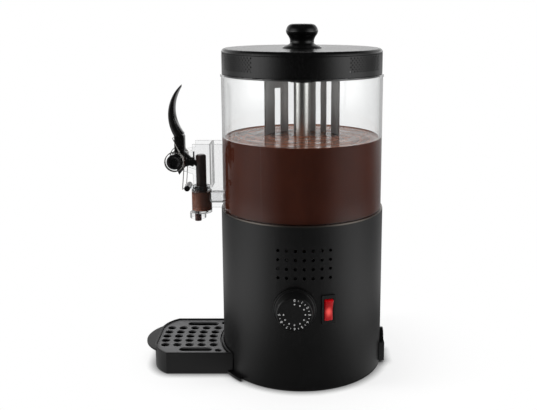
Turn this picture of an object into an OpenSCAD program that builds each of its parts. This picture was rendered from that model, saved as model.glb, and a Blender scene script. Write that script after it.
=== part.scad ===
// Hot chocolate dispenser: a round heated base, a clear tank with a stirrer, a lift-off lid,
// a spring-closed plunger tap and a slide-out drip tray. Millimetres, +Z up.
// The origin is on the casing's axis at floor level; the tap points to -Y, the controls to +X.

/* [Casing] */
// Outer diameter of the round casing
casing_d = 220; // [214:1:228]
// Height of the casing's wall
casing_h = 216.5; // [208:0.5:226]
// Thickness of the casing's wall
casing_t = 1.5; // [1:0.1:2.5]
// Height of the rubber ring that the machine stands on
foot_h = 2.5; // [1.5:0.5:5]
// Width of the rubber ring that the machine stands on
foot_w = 8; // [5:0.5:12]
// Thickness of the base plate
base_plate_t = 2.5; // [1.5:0.5:4]
// Thickness of the steel deck under the tank
deck_t = 2; // [1.5:0.5:3]
// Height of the bright ring between casing and tank
trim_h = 2; // [1:0.5:4]
// Width of the bright ring between casing and tank
trim_w = 8; // [6:0.5:12]

/* [Casing vents] */
// Diameter of one vent hole
vent_d = 4.2; // [2.5:0.1:5.5]
// Vent holes in a row
vent_columns = 7; // [3:1:9]
// Rows of vent holes
vent_rows = 4; // [2:1:5]
// Angle between two vent holes of a row
vent_step = 5.85; // [4.5:0.05:7]
// Height between two rows
vent_rise = 11.9; // [8:0.1:13]
// Height of the lowest row above the floor
vent_z = 152.9; // [146:0.1:160]

/* [Drive] */
// Diameter of the four posts inside the casing
post_d = 10; // [8:0.5:14]
// How far the posts' axes stand in from the casing's inside
post_inset = 22.5; // [18:0.5:28]
// Diameter of the screws that hold the posts
post_screw_d = 4; // [3:0.5:5]
// Height of the motor bracket above the floor
bracket_z = 118; // [110:1:124]
// Thickness of the motor bracket
bracket_t = 3; // [2:0.5:4]
// Width of the motor bracket's arms
bracket_w = 26; // [20:1:34]
// Diameter of the motor
motor_d = 60; // [50:1:70]
// Height of the motor
motor_h = 72; // [55:1:85]
// Width of the gearbox
gearbox_w = 64; // [54:1:72]
// Height of the gearbox
gearbox_h = 30; // [24:1:34]
// Diameter of the drive shaft
shaft_d = 8; // [6:0.5:9]
// Width across flats of the hexagon on top of the drive shaft
hex_w = 9; // [7:0.2:9.6]
// Outer diameter of the shaft coupling
coupling_d = 20; // [16:1:26]
// Length of the shaft coupling
coupling_h = 24; // [18:1:26]

/* [Heater] */
// Gap between the aluminium heater plate and the posts
heater_gap = 6; // [4:0.5:20]
// Thickness of the heater plate
heater_t = 8; // [5:0.5:10]
// Diameter of the tubular heating element
element_d = 8; // [6:0.5:9]
// How far the heating element's loop stands in from the heater plate's edge
element_inset = 21; // [16:1:28]
// Thickness of the insulation under the heating element
insulation_t = 14; // [8:1:16]

/* [Thermostat] */
// Height of the thermostat dial's axis above the floor
dial_z = 113.3; // [104:0.1:120]
// Sideways offset of the thermostat dial's axis
dial_y = -9.3; // [-12:0.1:-6]
// Diameter of the dial's skirt
dial_d = 55; // [48:0.5:60]
// Diameter of the dial's face
dial_face_d = 44.6; // [38:0.2:47]
// How far the dial stands out from its seat
dial_h = 19; // [12:0.5:24]
// Diameter of the dial's spindle
spindle_d = 6; // [5:0.5:8]
// Width of the thermostat's housing
thermostat_w = 30; // [24:1:34]
// Depth of the thermostat's housing
thermostat_l = 36; // [28:1:42]

/* [Power switch] */
// Direction of the switch, as an angle from +X
switch_angle = 17.5; // [16:0.1:20]
// Height of the switch's centre above the floor
switch_z = 110.9; // [104:0.1:120]
// Width of the switch's bezel
bezel_w = 18; // [16:0.5:20]
// Height of the switch's bezel
bezel_h = 38; // [34:0.5:42]
// Thickness of the switch's bezel
bezel_t = 2.5; // [1.5:0.5:4]
// Width of the red rocker
rocker_w = 11.6; // [9:0.2:12]
// Length of the red rocker
rocker_h = 28; // [24:0.5:29]
// Depth of the switch's housing behind the casing
switch_l = 24; // [18:1:30]

/* [Mains inlet] */
// Width of the inlet's cover
inlet_w = 50; // [44:1:56]
// Height of the inlet's cover
inlet_h = 27; // [25:0.5:32]
// How far the inlet's cover stands out from the casing
inlet_out = 4.5; // [3:0.5:8]
// Width of the inlet's socket
socket_w = 26; // [24:0.5:30]
// Height of the inlet's socket
socket_h = 16; // [14:0.5:18]
// Depth of the inlet's socket
socket_l = 18; // [15:0.5:22]

/* [Tank] */
// How far the clear tank's wall stands in from the casing's
tank_inset = 2.5; // [2:0.1:4]
// Height of the clear tank's wall
tank_h = 180.5; // [176:0.5:190]
// Thickness of the clear tank's wall
tank_t = 3.5; // [2.5:0.1:4.5]
// How far the tank's rim stands out from its wall
rim_out = 1; // [0.5:0.1:1.5]
// Height of the tank's rim
rim_h = 3.5; // [2:0.5:6]
// Thickness of the tank's steel floor
floor_t = 1.5; // [1:0.1:2.5]
// Outer diameter of the steel tube in the tank's middle
tube_d = 22.2; // [20:0.1:24]
// Thickness of the steel tube's wall
tube_t = 1.5; // [1:0.1:2]

/* [Tap] */
// Distance of the tap barrel's axis from the tank's wall
barrel_out = 29.9; // [28:0.1:32]
// Outer diameter of the tap's barrel
barrel_d = 27.5; // [26:0.1:28]
// Thickness of the barrel's wall
barrel_t = 2.5; // [2:0.1:3]
// How far the barrel reaches below the tank
barrel_drop = 10.2; // [9:0.1:12]
// Height of the barrel
barrel_h = 31.3; // [29:0.1:33]
// Outer diameter of the feed pipe between tank and barrel
feed_d = 17; // [15:0.5:18]
// Bore of the feed pipe
feed_bore_d = 12; // [9:0.5:13]
// How far the barrel's cap stands in from the barrel's outside
cap_inset = 1.75; // [1:0.05:2]
// Thickness of the barrel's cap
cap_t = 6; // [5:0.5:7]
// How far the outlet's axis stands out from the barrel's
outlet_out = 5.6; // [4.5:0.1:6.6]
// Outer diameter of the outlet nozzle
nozzle_d = 9; // [8:0.2:10]
// Bore of the outlet nozzle
nozzle_bore_d = 6.4; // [5:0.2:7]
// How far the nozzle reaches below the barrel
nozzle_h = 12.3; // [9:0.1:14]
// Outer diameter of the clear skirt round the nozzle
skirt_d = 22; // [20:0.5:24]
// Height of the clear skirt round the nozzle
skirt_h = 8.2; // [6:0.2:9]
// Height of the clear tap guard
guard_h = 86.4; // [84:0.1:93]
// How far the guard's outer edge stands out from the barrel's axis
guard_out = 9; // [8:0.1:10.5]
// Gap between the barrel and each of the guard's two cheeks
cheek_gap = 0.5; // [0.35:0.05:1.2]
// Thickness of a guard cheek
cheek_t = 3; // [2:0.1:3.6]
// Diameter of the plunger's rod
plunger_d = 14; // [12.5:0.1:15]
// How far the plunger's top stands above the lever's pivot
plunger_rise = 6.1; // [4.5:0.1:8]
// Height of the plunger's foot disc
plug_h = 6; // [4:0.5:7]

/* [Tap lever] */
// Distance of the lever's pivot from the barrel's axis
pivot_out = 32.6; // [31:0.1:34]
// Height of the lever's pivot above the tank's lower edge
pivot_rise = 63.8; // [62:0.1:66]
// Diameter of the lever's steel pin
axle_d = 8; // [6:0.2:9]
// Diameter of the round caps on the lever's pin
axle_cap_d = 20.2; // [18:0.2:21]
// Length of each round cap
axle_cap_l = 9.4; // [9:0.1:11]
// Thickness of the lever's straight shank, front to back
shank_t = 13.8; // [12:0.1:15]
// Width of the lever's shank, side to side
shank_w = 16; // [12:0.5:18]
// Width of the lever's blade at its top
blade_w = 27; // [20:0.5:32]
// Height of the blade's tip above the pivot
blade_rise = 101.1; // [95:0.1:107]
// Thickness of the spring's wire
wire_d = 1.8; // [1.4:0.1:2]
// Mean diameter of the spring's coils
coil_d = 25.4; // [24:0.1:27]
// Full turns in each of the spring's two coils
coil_turns = 3; // [2:1:3]
// Distance between two turns of a coil
coil_pitch = 2.4; // [2.3:0.05:2.8]

/* [Lid] */
// How far the lid's wall stands in from the tank's
lid_inset = 1; // [0.5:0.1:2]
// Height of the lid's wall with the vents
lid_wall_h = 26.2; // [25:0.1:30]
// Thickness of the lid's wall
lid_t = 2.5; // [2:0.1:3.5]
// Height of the lid's cap above the wall
lid_cap_h = 6.1; // [5:0.1:9]
// Radius of the lid cap's upper edge
lid_edge_r = 4.5; // [2:0.1:4.8]
// Diameter of one lid vent
lid_vent_d = 2.3; // [1.4:0.1:2.6]
// Angle between two lid vents of a row
lid_vent_step = 2.9; // [2.5:0.05:3.4]
// Lid vents in a row
lid_vent_columns = 12; // [6:1:14]
// Rows of lid vents
lid_vent_rows = 7; // [3:1:7]
// Height between two rows of lid vents
lid_vent_rise = 2.7; // [2.6:0.05:2.9]
// Diameter of the lid's knob at its widest
knob_d = 42.4; // [36:0.2:48]
// Height of the lid's knob
knob_h = 31.8; // [28:0.2:36]
// Diameter of the knob's waist
knob_waist_d = 31.8; // [26:0.2:35]
// Diameter of the knob's foot flange
knob_foot_d = 52; // [44:1:60]

/* [Stirrer] */
// Outer diameter of the stirrer's half-round cage
cage_d = 101; // [92:0.5:108]
// Thickness of the cage's sheet
cage_t = 1.5; // [1:0.1:2]
// Height of the cage's foot above the tank's floor
cage_lift = 7.5; // [6:0.5:12]
// Height of the cage
cage_h = 165; // [155:0.5:166]
// Height of the cage's top band
cage_band = 6; // [4:0.5:9]
// Height of the cage's bottom band
cage_foot_band = 12; // [8:0.5:18]
// Outer diameter of the stirrer's hub
hub_d = 32; // [28:0.5:36]
// Height of the stirrer's hub above the tube's top
hub_rise = 11; // [10:0.5:12]
// Gap between the scraper's ends and the tank's wall
scraper_gap = 7; // [4:0.5:34]
// Height of the stirrer's scraper
scraper_h = 12; // [8:0.5:16]

/* [Drip tray] */
// Half width of the drip tray
tray_half_w = 60; // [54:0.5:66]
// How far the tray's flat end stands out from the casing
tray_out = 93.8; // [90:0.1:100]
// How far the tray's side corners lie back from its flat end
tray_corner_back = 20.6; // [18:0.1:24]
// Half width of the tray's flat end
tray_flat = 22; // [16:0.5:28]
// Height of the tray's rim above the floor
tray_top = 30.5; // [28:0.5:34]
// Height of the tray's underside above the floor
tray_lift = 1; // [0.5:0.5:2]
// Thickness of the tray's walls and floor
tray_t = 2.5; // [2:0.1:3]
// Reach of the tray's finger tab past the flat end
tab_out = 15.5; // [10:0.5:20]
// Half width of the finger tab where it meets the tray
tab_half_w = 45; // [42:0.5:48]
// Thickness of the grille
grille_t = 2; // [1.5:0.1:3]
// Depth of the grille's face below the tray's rim
grille_drop = 2; // [1:0.1:4]
// Diameter of the grille's drain holes
drain_d = 12; // [8:0.2:12]
// Arcs of drain holes
drain_rows = 5; // [3:1:5]
// Gap between the grille's back edge and the tray's back wall
grille_back_gap = 2.4; // [1.9:0.1:3]
// Web between the first arc of drain holes and the grille's back edge
drain_web = 3.8; // [2.5:0.1:5.4]
// Sideways distance between two drain holes
drain_step = 14.5; // [12.5:0.1:15]

/* [Fits] */
// Radial running clearance of shafts and pins
run_gap = 0.06; // [0.03:0.01:0.1]
// Gap between parts that move past each other
part_gap = 0.4; // [0.3:0.05:0.8]

/* [Hidden] */
$fn = 96;
eps = 1;
casing_r = casing_d / 2;
casing_in = casing_r - casing_t;
tank_r = casing_r - tank_inset;
tank_in = tank_r - tank_t;
lid_r = tank_r - lid_inset;
lid_in = lid_r - lid_t;
post_r = casing_in - post_inset;
heater_r = post_r - post_d / 2 - heater_gap;
element_r = heater_r - element_inset;
z_plate = foot_h + base_plate_t;
z_trim = foot_h + casing_h;
z_deck = z_trim - deck_t;
z_joint = z_trim + trim_h;
z_tank = z_joint + part_gap;
z_rim = z_tank + tank_h;
z_lid = z_rim + part_gap;
z_lid_cap = z_lid + lid_wall_h;
z_lid_top = z_lid_cap + lid_cap_h;
seal_t = 1.7;
z_floor = z_tank + seal_t + floor_t;

// Drive train, from the motor up
gearbox_z = bracket_z + bracket_t;
gearbox_top = gearbox_z + gearbox_h;
shaft_in_box = 10;
stub_top = gearbox_top + part_gap + coupling_h / 2;
heater_z = z_deck - heater_t;
element_z = heater_z - element_d / 2;
insulation_z = heater_z - element_d - insulation_t;
element_open = 15;
element_leg = 30;
cutout_y = 25;
cutout_d = 16;
cutout_h = 7;
bulb_y = 28;
bulb_d = 5;
bulb_l = 55;
bush_r = shaft_d / 2 + run_gap;
bush_out_d = 15;
bush_reach = 6;
post_angles = [45, 135, 225, 315];
screw_head_d = 8;
screw_head_t = 1.4;
screw_l = 14;

// Tank middle and stirrer
tube_r = tube_d / 2;
tube_in = tube_r - tube_t;
tube_top = z_rim + 2;
tube_bush_flange = 1.5;
tube_bush_reach = 8;
hex_gap = 0.3;
hub_bore_r = tube_r + run_gap + 0.02;
hub_ceiling = tube_top + tube_bush_flange + part_gap;
hub_top = tube_top + hub_rise;
hex_r = hex_w / 2 / cos(30);
hex_top = hub_top - 4;
hex_from = hub_ceiling - 12;
cage_r = cage_d / 2;
cage_z = z_floor + cage_lift;
cage_top = cage_z + cage_h;
hub_reach = 7.2;
hub_low = cage_top - hub_reach;
slot_low = cage_z + cage_foot_band;
slot_high = cage_top - cage_band;
// Slots of the cage: direction from +Y towards -X, width as an angle, drop of the slot's top
CAGE_SLOTS = [[41, 12, 0], [62.75, 9.5, 0], [82.5, 11, 0], [105.5, 15, 0], [133.5, 13, 13]];
scraper_reach = tank_in - scraper_gap;
scraper_z = cage_z - scraper_h + 5;
scraper_t = 2.5;
spider_angles = [7, 90, 173];
spider_w = 12;
spider_t = 2.5;

// Tap
feed_z = z_floor + feed_bore_d / 2 + 2.2;
barrel_y = tank_r + barrel_out;
barrel_z = z_tank - barrel_drop;
outlet_y = barrel_y + outlet_out;
pivot_y = barrel_y + pivot_out;
pivot_z = z_tank + pivot_rise;
barrel_r = barrel_d / 2;
barrel_in = barrel_r - barrel_t;
barrel_floor = 3;
barrel_top = barrel_z + barrel_h;
cap_top = barrel_top + cap_t;
cap_r = barrel_r - cap_inset;
o_ring_t = 2.4;
anchor_r = 4;
anchor_y = barrel_y + 18.2;
anchor_z = barrel_top + cap_t / 2 + 1;
anchor_half = 13;
guard_y = barrel_y + guard_out;
guard_low = z_tank + 0.2;
guard_top = guard_low + guard_h;
guard_wall_y = barrel_y - cap_r - 1.4;
ear_r = 9.5;
ear_web_up = 14;
ear_web_down = 18;
cheek_x = barrel_r + cheek_gap;
plunger_r = plunger_d / 2;
plunger_top = pivot_z + plunger_rise;
seal_disc_t = 2;
plug_z = barrel_z + barrel_floor + part_gap;
plug_r = barrel_in - part_gap;

// Lid
lid_cap_t = 3;
lid_seam = 0.7;
lid_shoulder = 12;
lid_vent_top = 2.4;
lid_seal_t = 2;
lid_seal_down = 3;
lid_seal_up = 4;
knob_screw_d = 5;

// Tap lever: the nose sits in the plunger's pocket
nose_r = 4.3;
nose_y = barrel_y + plunger_r - 1.4;
nose_z = pivot_z - 5;
nose_w = 8;
nose_gap = 0.5;
neck_half = 3;
link_pin_r = 1.1;
arm_end_y = barrel_y + plunger_r + 1.4;
link_pin_y = arm_end_y + 1.2;
hub_r = 8.5;
lever_depth = 2 * ear_r + shank_t;
coil_r = coil_d / 2;
wire_r = wire_d / 2;
cap_x = cheek_x + cheek_t + part_gap;
axle_end = cap_x + axle_cap_l - 3;
coil_x = cap_x + wire_r + 0.3;
shank_out = pivot_y + 2.4;
shank_in = shank_out - shank_t;
shank_top = pivot_z + 33;
blade_top = pivot_z + blade_rise;
blade_round_z = blade_top - blade_w / 2;
BLADE_OUT = [[-shank_out, shank_top - 2], [-pivot_y - 8.9, pivot_z + 67], [-pivot_y + 9, blade_top]];
BLADE_IN = [[-shank_in, shank_top + 2], [-pivot_y - 0.4, pivot_z + 69], [-pivot_y + 9, blade_top - 3]];
arc_steps = 14;
hook_z = shank_top - 3.2;
hook_y = shank_out + wire_r + 0.3;
hook_x = shank_w / 2 + wire_r + 1.2;

// Casing details
lug_w = 10;
lug_turn = 65;
dial_seat_x = casing_r + 1;
dial_x = dial_seat_x + part_gap;
thermostat_x = casing_in - 4;
neck_r = spindle_d / 2 + 2.5;
rocker_pivot = casing_r + bezel_t - 3;
rocker_r = rocker_h / 2;
rocker_tilt = 7;
window_gap = 0.5;
rocker_depth = 9;
inlet_z = foot_h + 0.5;
socket_z = inlet_z + inlet_h / 2;
inlet_y = casing_r + inlet_out;
socket_wall = 3;
pin_l = 10;
ear_rise = 12;
bracket_lip_r = casing_r + 6.5;
bracket_lip_t = 3;
bracket_half_angle = 43;
bracket_end_y = casing_r * cos(bracket_half_angle);

// Drip tray and grille
tray_gap = 0.8;
tray_back = casing_r + tray_gap;
tray_end = casing_r + tray_out;
tray_corner = tray_end - tray_corner_back;
tray_floor = tray_lift + tray_t;
tray_arc = (pow(tray_half_w - tray_flat, 2) + pow(tray_end - tray_corner, 2))
    / (2 * (tray_end - tray_corner));
grille_top = tray_top - grille_drop;
grille_z = grille_top - grille_t;
ledge_w = 2.5;
ledge_z = grille_z - part_gap;
grille_inset = tray_t + part_gap;
tab_back = 7.5;
tab_reach = tab_out + tab_back;
tab_r = (pow(tab_half_w, 2) + pow(tab_reach, 2)) / (2 * tab_reach);
tab_down = 3;
grille_back = tray_back + tray_t + grille_back_gap;
drain_from = grille_back + drain_web + drain_d / 2;
drain_to = tray_end - grille_inset - 3.4 - drain_d / 2;
drain_pitch = (drain_to - drain_from) / (drain_rows - 1);
slot_side = 16;
slot_front = 41.8;
slot_rear = 17.7;
slot_x = tray_half_w - slot_side;
slot_w = 12;
slot_y = [tray_end - slot_front, tray_back + slot_rear];
corner_hole_d = 10;
corner_hole_side = 3;
corner_hole_back = 14.5;

// ---- shared shapes ----

module ring(r_out, r_in, h, z = 0) {
    translate([0, 0, z])
        difference() {
            cylinder(r = r_out, h = h);
            translate([0, 0, -eps]) cylinder(r = r_in, h = h + 2 * eps);
        }
}

// A cylinder along X, from x0 with length l, centred on y and z
module x_rod(r, l, x0, y, z) {
    translate([x0, y, z]) rotate([0, 90, 0]) cylinder(r = r, h = l);
}

// A box given by its lowest corner and its sizes, centred on X
module x_block(w, y0, y1, z0, z1) {
    translate([-w / 2, y0, z0]) cube([w, y1 - y0, z1 - z0]);
}

// Turns an outline drawn as [y, z] into a slab of width w centred on X
module side_slab(w, x = 0) {
    translate([x - w / 2, 0, 0]) rotate([90, 0, 90]) linear_extrude(w) children();
}

// Copies the child at the four posts
module at_posts() {
    for (a = post_angles) rotate([0, 0, a]) translate([post_r, 0, 0]) children();
}

// Holes drilled from the axis outwards in a staggered or straight grid
module radial_holes(r, from_r, to_r, columns, rows, step, rise, z0, direction, stagger) {
    for (row = [0 : rows - 1], column = [0 : columns - 1 - (stagger ? row % 2 : 0)]) {
        shift = stagger ? (row % 2) / 2 : 0;
        angle = direction + (column + shift - (columns - 1) / 2) * step;
        rotate([0, 0, angle]) x_rod(r, to_r - from_r, from_r, 0, z0 + row * rise);
    }
}

// ---- curves ----

function circle_centre(a, b, c) =
    let (
        d = 2 * (a.x * (b.y - c.y) + b.x * (c.y - a.y) + c.x * (a.y - b.y)),
        aa = a * a, bb = b * b, cc = c * c
    )
    [
        (aa * (b.y - c.y) + bb * (c.y - a.y) + cc * (a.y - b.y)) / d,
        (aa * (c.x - b.x) + bb * (a.x - c.x) + cc * (b.x - a.x)) / d
    ];

// Points on the arc from a through b to c
function arc_through(a, b, c, n) =
    let (
        m = circle_centre(a, b, c),
        r = norm(a - m),
        from = atan2(a.y - m.y, a.x - m.x),
        to = atan2(c.y - m.y, c.x - m.x),
        mid = atan2(b.y - m.y, b.x - m.x),
        sweep = ((to - from) % 360 + 360) % 360,
        part = ((mid - from) % 360 + 360) % 360,
        turn = part < sweep ? sweep : sweep - 360
    )
    [for (i = [0 : n]) m + r * [cos(from + turn * i / n), sin(from + turn * i / n)]];

function reversed(list) = [for (i = [len(list) - 1 : -1 : 0]) list[i]];
function unit(v) = v / norm(v);

// ---- base ----

module foot_ring() {
    color("black") ring(casing_r - 0.5, casing_r - 0.5 - foot_w, foot_h);
}

module base_plate() {
    color("dimgray")
        difference() {
            translate([0, 0, foot_h]) cylinder(r = casing_in, h = base_plate_t);
            at_posts() translate([0, 0, foot_h - eps]) cylinder(d = post_screw_d, h = base_plate_t + 2 * eps);
        }
}

module post_screws() {
    color("silver")
        at_posts() {
            translate([0, 0, foot_h - screw_head_t]) cylinder(d = screw_head_d, h = screw_head_t);
            translate([0, 0, foot_h]) cylinder(d = post_screw_d, h = screw_l);
        }
}

module posts() {
    color("silver")
        difference() {
            at_posts() translate([0, 0, z_plate]) cylinder(d = post_d, h = z_deck - z_plate);
            at_posts() translate([0, 0, z_plate - eps])
                cylinder(d = post_screw_d, h = screw_l - base_plate_t + eps);
        }
}

module casing() {
    color([0.11, 0.11, 0.12])
        difference() {
            union() {
                ring(casing_r, casing_in, casing_h, foot_h);
                intersection() {
                    for (a = post_angles) rotate([0, 0, a + lug_turn])
                        translate([casing_in - lug_w, -lug_w / 2, z_plate])
                        cube([lug_w + casing_t / 2, lug_w, lug_w]);
                    cylinder(r = casing_r - casing_t / 2, h = z_trim);
                }
            }
            for (side = [0, 180])
                radial_holes(vent_d / 2, casing_in - eps, casing_r + eps, vent_columns, vent_rows,
                    vent_step, vent_rise, vent_z, side + 1.5, false);
            x_rod(neck_r, 3 * casing_t + 6, casing_in - 5, dial_y, dial_z);
            rotate([0, 0, switch_angle])
                translate([casing_in - 3, -bezel_w / 2 + 2, switch_z - bezel_h / 2 + 3])
                cube([casing_t + 6, bezel_w - 4, bezel_h - 6]);
            x_block(socket_w + 2 * socket_wall, casing_in - 5, casing_r + eps,
                socket_z - socket_h / 2 - socket_wall, socket_z + socket_h / 2 + socket_wall);
        }
}

// A lip round the casing's foot that the tray slides over, cut straight at both ends
module tray_bracket() {
    color([0.11, 0.11, 0.12])
        intersection() {
            ring(bracket_lip_r, casing_r, bracket_lip_t, tray_lift);
            x_block(2 * bracket_lip_r, -bracket_lip_r, -bracket_end_y, 0, tray_lift + bracket_lip_t);
        }
}

module motor_bracket() {
    color("silver")
        difference() {
            union() {
                for (a = [45, 135]) rotate([0, 0, a])
                    translate([-post_r - post_d, -bracket_w / 2, bracket_z])
                    cube([2 * (post_r + post_d), bracket_w, bracket_t]);
                translate([0, 0, bracket_z]) cylinder(r = motor_d / 2 + 8, h = bracket_t);
            }
            at_posts() translate([0, 0, bracket_z - eps]) cylinder(d = post_d, h = bracket_t + 2 * eps);
            translate([0, 0, bracket_z - eps]) cylinder(r = 12, h = bracket_t + 2 * eps);
        }
}

module motor() {
    color("gray") {
        translate([0, 0, bracket_z - motor_h]) cylinder(d = motor_d, h = motor_h);
        translate([0, 0, bracket_z - motor_h - 4]) cylinder(d = motor_d / 3, h = 4);
        translate([0, 0, bracket_z]) cylinder(r = 12, h = bracket_t);
    }
}

module gearbox() {
    color("darkgray")
        difference() {
            translate([-gearbox_w / 2, -gearbox_w / 2, gearbox_z]) cube([gearbox_w, gearbox_w, gearbox_h]);
            translate([0, 0, gearbox_top - shaft_in_box - part_gap])
                cylinder(r = bush_r, h = shaft_in_box + eps);
        }
}

module deck() {
    color("silver")
        difference() {
            translate([0, 0, z_deck]) cylinder(r = casing_in, h = deck_t);
            translate([0, 0, z_deck - eps]) cylinder(d = bush_out_d, h = deck_t + 2 * eps);
        }
}

module deck_bush() {
    color("peru") ring(bush_out_d / 2, bush_r, heater_t + deck_t + bush_reach, heater_z);
}

module trim_ring() {
    color("lightgray") ring(casing_r - 0.4, casing_r - trim_w, trim_h, z_trim);
}

module heater_plate() {
    color("lightgray") ring(heater_r, bush_out_d / 2, heater_t, heater_z);
}

module heating_element() {
    color("dimgray") {
        rotate([0, 0, element_open]) rotate_extrude(angle = 360 - 2 * element_open)
            translate([element_r, element_z]) circle(d = element_d);
        for (a = [element_open, -element_open]) rotate([0, 0, a])
            translate([element_r, 0, element_z - element_leg])
            cylinder(d = element_d, h = element_leg);
    }
}

module thermal_cutout() {
    color("ivory")
        translate([0, cutout_y, heater_z - cutout_h]) cylinder(d = cutout_d, h = cutout_h);
}

module thermostat_bulb() {
    color("peru") x_rod(bulb_d / 2, bulb_l, -bulb_l / 2, -bulb_y, heater_z - bulb_d / 2);
}

module insulation() {
    color("wheat")
        difference() {
            translate([0, 0, insulation_z]) cylinder(r = heater_r, h = insulation_t);
            translate([0, 0, insulation_z - eps])
                cylinder(r = coupling_d / 2 + 3, h = insulation_t + 2 * eps);
            for (a = [element_open, -element_open]) rotate([0, 0, a])
                translate([element_r, 0, insulation_z - eps])
                cylinder(d = element_d, h = insulation_t + 2 * eps);
        }
}

module thermostat() {
    color("ivory")
        difference() {
            union() {
                translate([thermostat_x - thermostat_l, dial_y - thermostat_w / 2, dial_z - thermostat_w / 2])
                    cube([thermostat_l, thermostat_w, thermostat_w]);
                x_rod(neck_r, dial_seat_x - thermostat_x, thermostat_x, dial_y, dial_z);
            }
            x_rod(spindle_d / 2 + run_gap, dial_seat_x - thermostat_x + 9, thermostat_x - 8, dial_y, dial_z);
        }
}

module dial_seat() {
    color("black")
        difference() {
            x_rod(dial_d / 2 + 0.5, 16, dial_seat_x - 16, dial_y, dial_z);
            translate([0, 0, dial_z - dial_d]) cylinder(r = casing_r, h = 2 * dial_d, $fn = 480);
            x_rod(neck_r, 20, dial_seat_x - 19, dial_y, dial_z);
        }
}

module switch_housing() {
    color("black")
        rotate([0, 0, switch_angle])
        translate([0, 0, switch_z])
        difference() {
            union() {
                intersection() {
                    translate([casing_r - 6, -bezel_w / 2, -bezel_h / 2])
                        cube([6 + bezel_t, bezel_w, bezel_h]);
                    difference() {
                        translate([0, 0, -bezel_h]) cylinder(r = 2 * casing_r, h = 2 * bezel_h);
                        translate([0, 0, -bezel_h - eps]) cylinder(r = casing_r, h = 2 * bezel_h + 2 * eps);
                    }
                }
                translate([casing_in - switch_l, -bezel_w / 2 + 2, -bezel_h / 2 + 3])
                    cube([switch_l + casing_t + 0.8, bezel_w - 4, bezel_h - 6]);
            }
            translate([rocker_pivot - rocker_depth, -rocker_w / 2 - window_gap, -rocker_r - window_gap])
                cube([2 * rocker_depth, rocker_w + 2 * window_gap, 2 * (rocker_r + window_gap)]);
        }
}

module inlet_housing() {
    color("black")
        difference() {
            union() {
                difference() {
                    union() {
                        x_block(inlet_w, casing_r - 8, inlet_y, inlet_z, inlet_z + inlet_h);
                        translate([0, inlet_y, inlet_z + inlet_h]) rotate([90, 0, 0])
                            cylinder(r = ear_rise, h = 10);
                    }
                    translate([0, 0, -eps])
                        cylinder(r = casing_r, h = inlet_z + inlet_h + ear_rise + 2 * eps);
                }
                x_block(socket_w + 2 * socket_wall, inlet_y - socket_l - socket_wall, casing_r,
                    socket_z - socket_h / 2 - socket_wall, socket_z + socket_h / 2 + socket_wall);
            }
            x_block(socket_w, inlet_y - socket_l, inlet_y + eps,
                socket_z - socket_h / 2, socket_z + socket_h / 2);
        }
}

module inlet_pins() {
    color("silver")
        for (i = [-1 : 1])
            translate([8 * i - 1, inlet_y - socket_l, socket_z - (i == 0 ? 0 : 4)]) cube([2, pin_l, 4]);
}

module terminal_block() {
    color("ivory") x_block(40, casing_in - 50, casing_in - 36, z_plate, z_plate + 16);
}

// ---- drive ----

module output_stub() {
    color("silver")
        translate([0, 0, gearbox_top - shaft_in_box])
        cylinder(d = shaft_d, h = stub_top - gearbox_top + shaft_in_box);
}

module shaft_coupling() {
    color("goldenrod") ring(coupling_d / 2, shaft_d / 2, coupling_h, gearbox_top + part_gap);
}

module drive_shaft() {
    color("silver") {
        translate([0, 0, stub_top]) cylinder(d = shaft_d, h = hex_from - stub_top);
        translate([0, 0, hex_from]) cylinder(r = hex_r, h = hex_top - hex_from - part_gap, $fn = 6);
    }
}

// ---- thermostat dial and rocker ----

module thermostat_dial() {
    color([0.06, 0.06, 0.06])
        translate([dial_x, dial_y, dial_z])
        rotate([0, 90, 0])
        difference() {
            rotate_extrude()
                polygon([[0, 0], [dial_d / 2, 0], [dial_d / 2, 3], [dial_face_d / 2 + 1, dial_h - 1],
                    [dial_face_d / 2, dial_h], [0, dial_h]]);
            translate([0, 0, -eps]) cylinder(d = spindle_d, h = dial_h - 4 + eps);
        }
}

module dial_spindle() {
    color("silver")
        x_rod(spindle_d / 2, dial_x + dial_h - 4 - thermostat_x + 6, thermostat_x - 6, dial_y, dial_z);
}

// The rocker rests with its upper half raised
module power_rocker() {
    color("red")
        rotate([0, 0, switch_angle])
        translate([rocker_pivot, 0, switch_z])
        rotate([0, rocker_tilt, 0])
        intersection() {
            rotate([90, 0, 0]) translate([0, 0, -rocker_w / 2]) cylinder(r = rocker_r, h = rocker_w);
            rotate([90, 0, 0]) translate([0, 0, -rocker_w / 2]) linear_extrude(rocker_w)
                polygon([[-4, -rocker_r * 0.8], [2.5, -rocker_r - 1], [6.8, -rocker_r - 1], [3.6, 0],
                    [6.8, rocker_r + 1], [2.5, rocker_r + 1], [-4, rocker_r * 0.8]]);
        }
}

// ---- tank ----

module tank_wall() {
    color([0.85, 0.9, 0.92, 0.35])
        difference() {
            union() {
                ring(tank_r, tank_in, tank_h, z_tank);
                ring(tank_r + rim_out, tank_in, rim_h, z_rim - rim_h);
            }
            translate([0, -tank_in + 5, feed_z]) rotate([90, 0, 0]) cylinder(d = feed_bore_d, h = tank_t + 8);
        }
}

module tank_floor() {
    color("silver") ring(tank_in, tube_r, floor_t, z_tank + seal_t);
}

module tank_seal() {
    color("whitesmoke") ring(tank_in, tank_in - 5, seal_t, z_tank);
}

module centre_tube() {
    color("silver") ring(tube_r, tube_in, tube_top - z_tank - 0.5, z_tank + 0.5);
}

module tube_bush() {
    color("white")
        difference() {
            union() {
                translate([0, 0, tube_top - tube_bush_reach]) cylinder(r = tube_in, h = tube_bush_reach);
                translate([0, 0, tube_top]) cylinder(r = tube_r, h = tube_bush_flange);
            }
            translate([0, 0, tube_top - tube_bush_reach - eps])
                cylinder(r = hex_r + part_gap, h = tube_bush_reach + tube_bush_flange + 2 * eps);
        }
}

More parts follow.
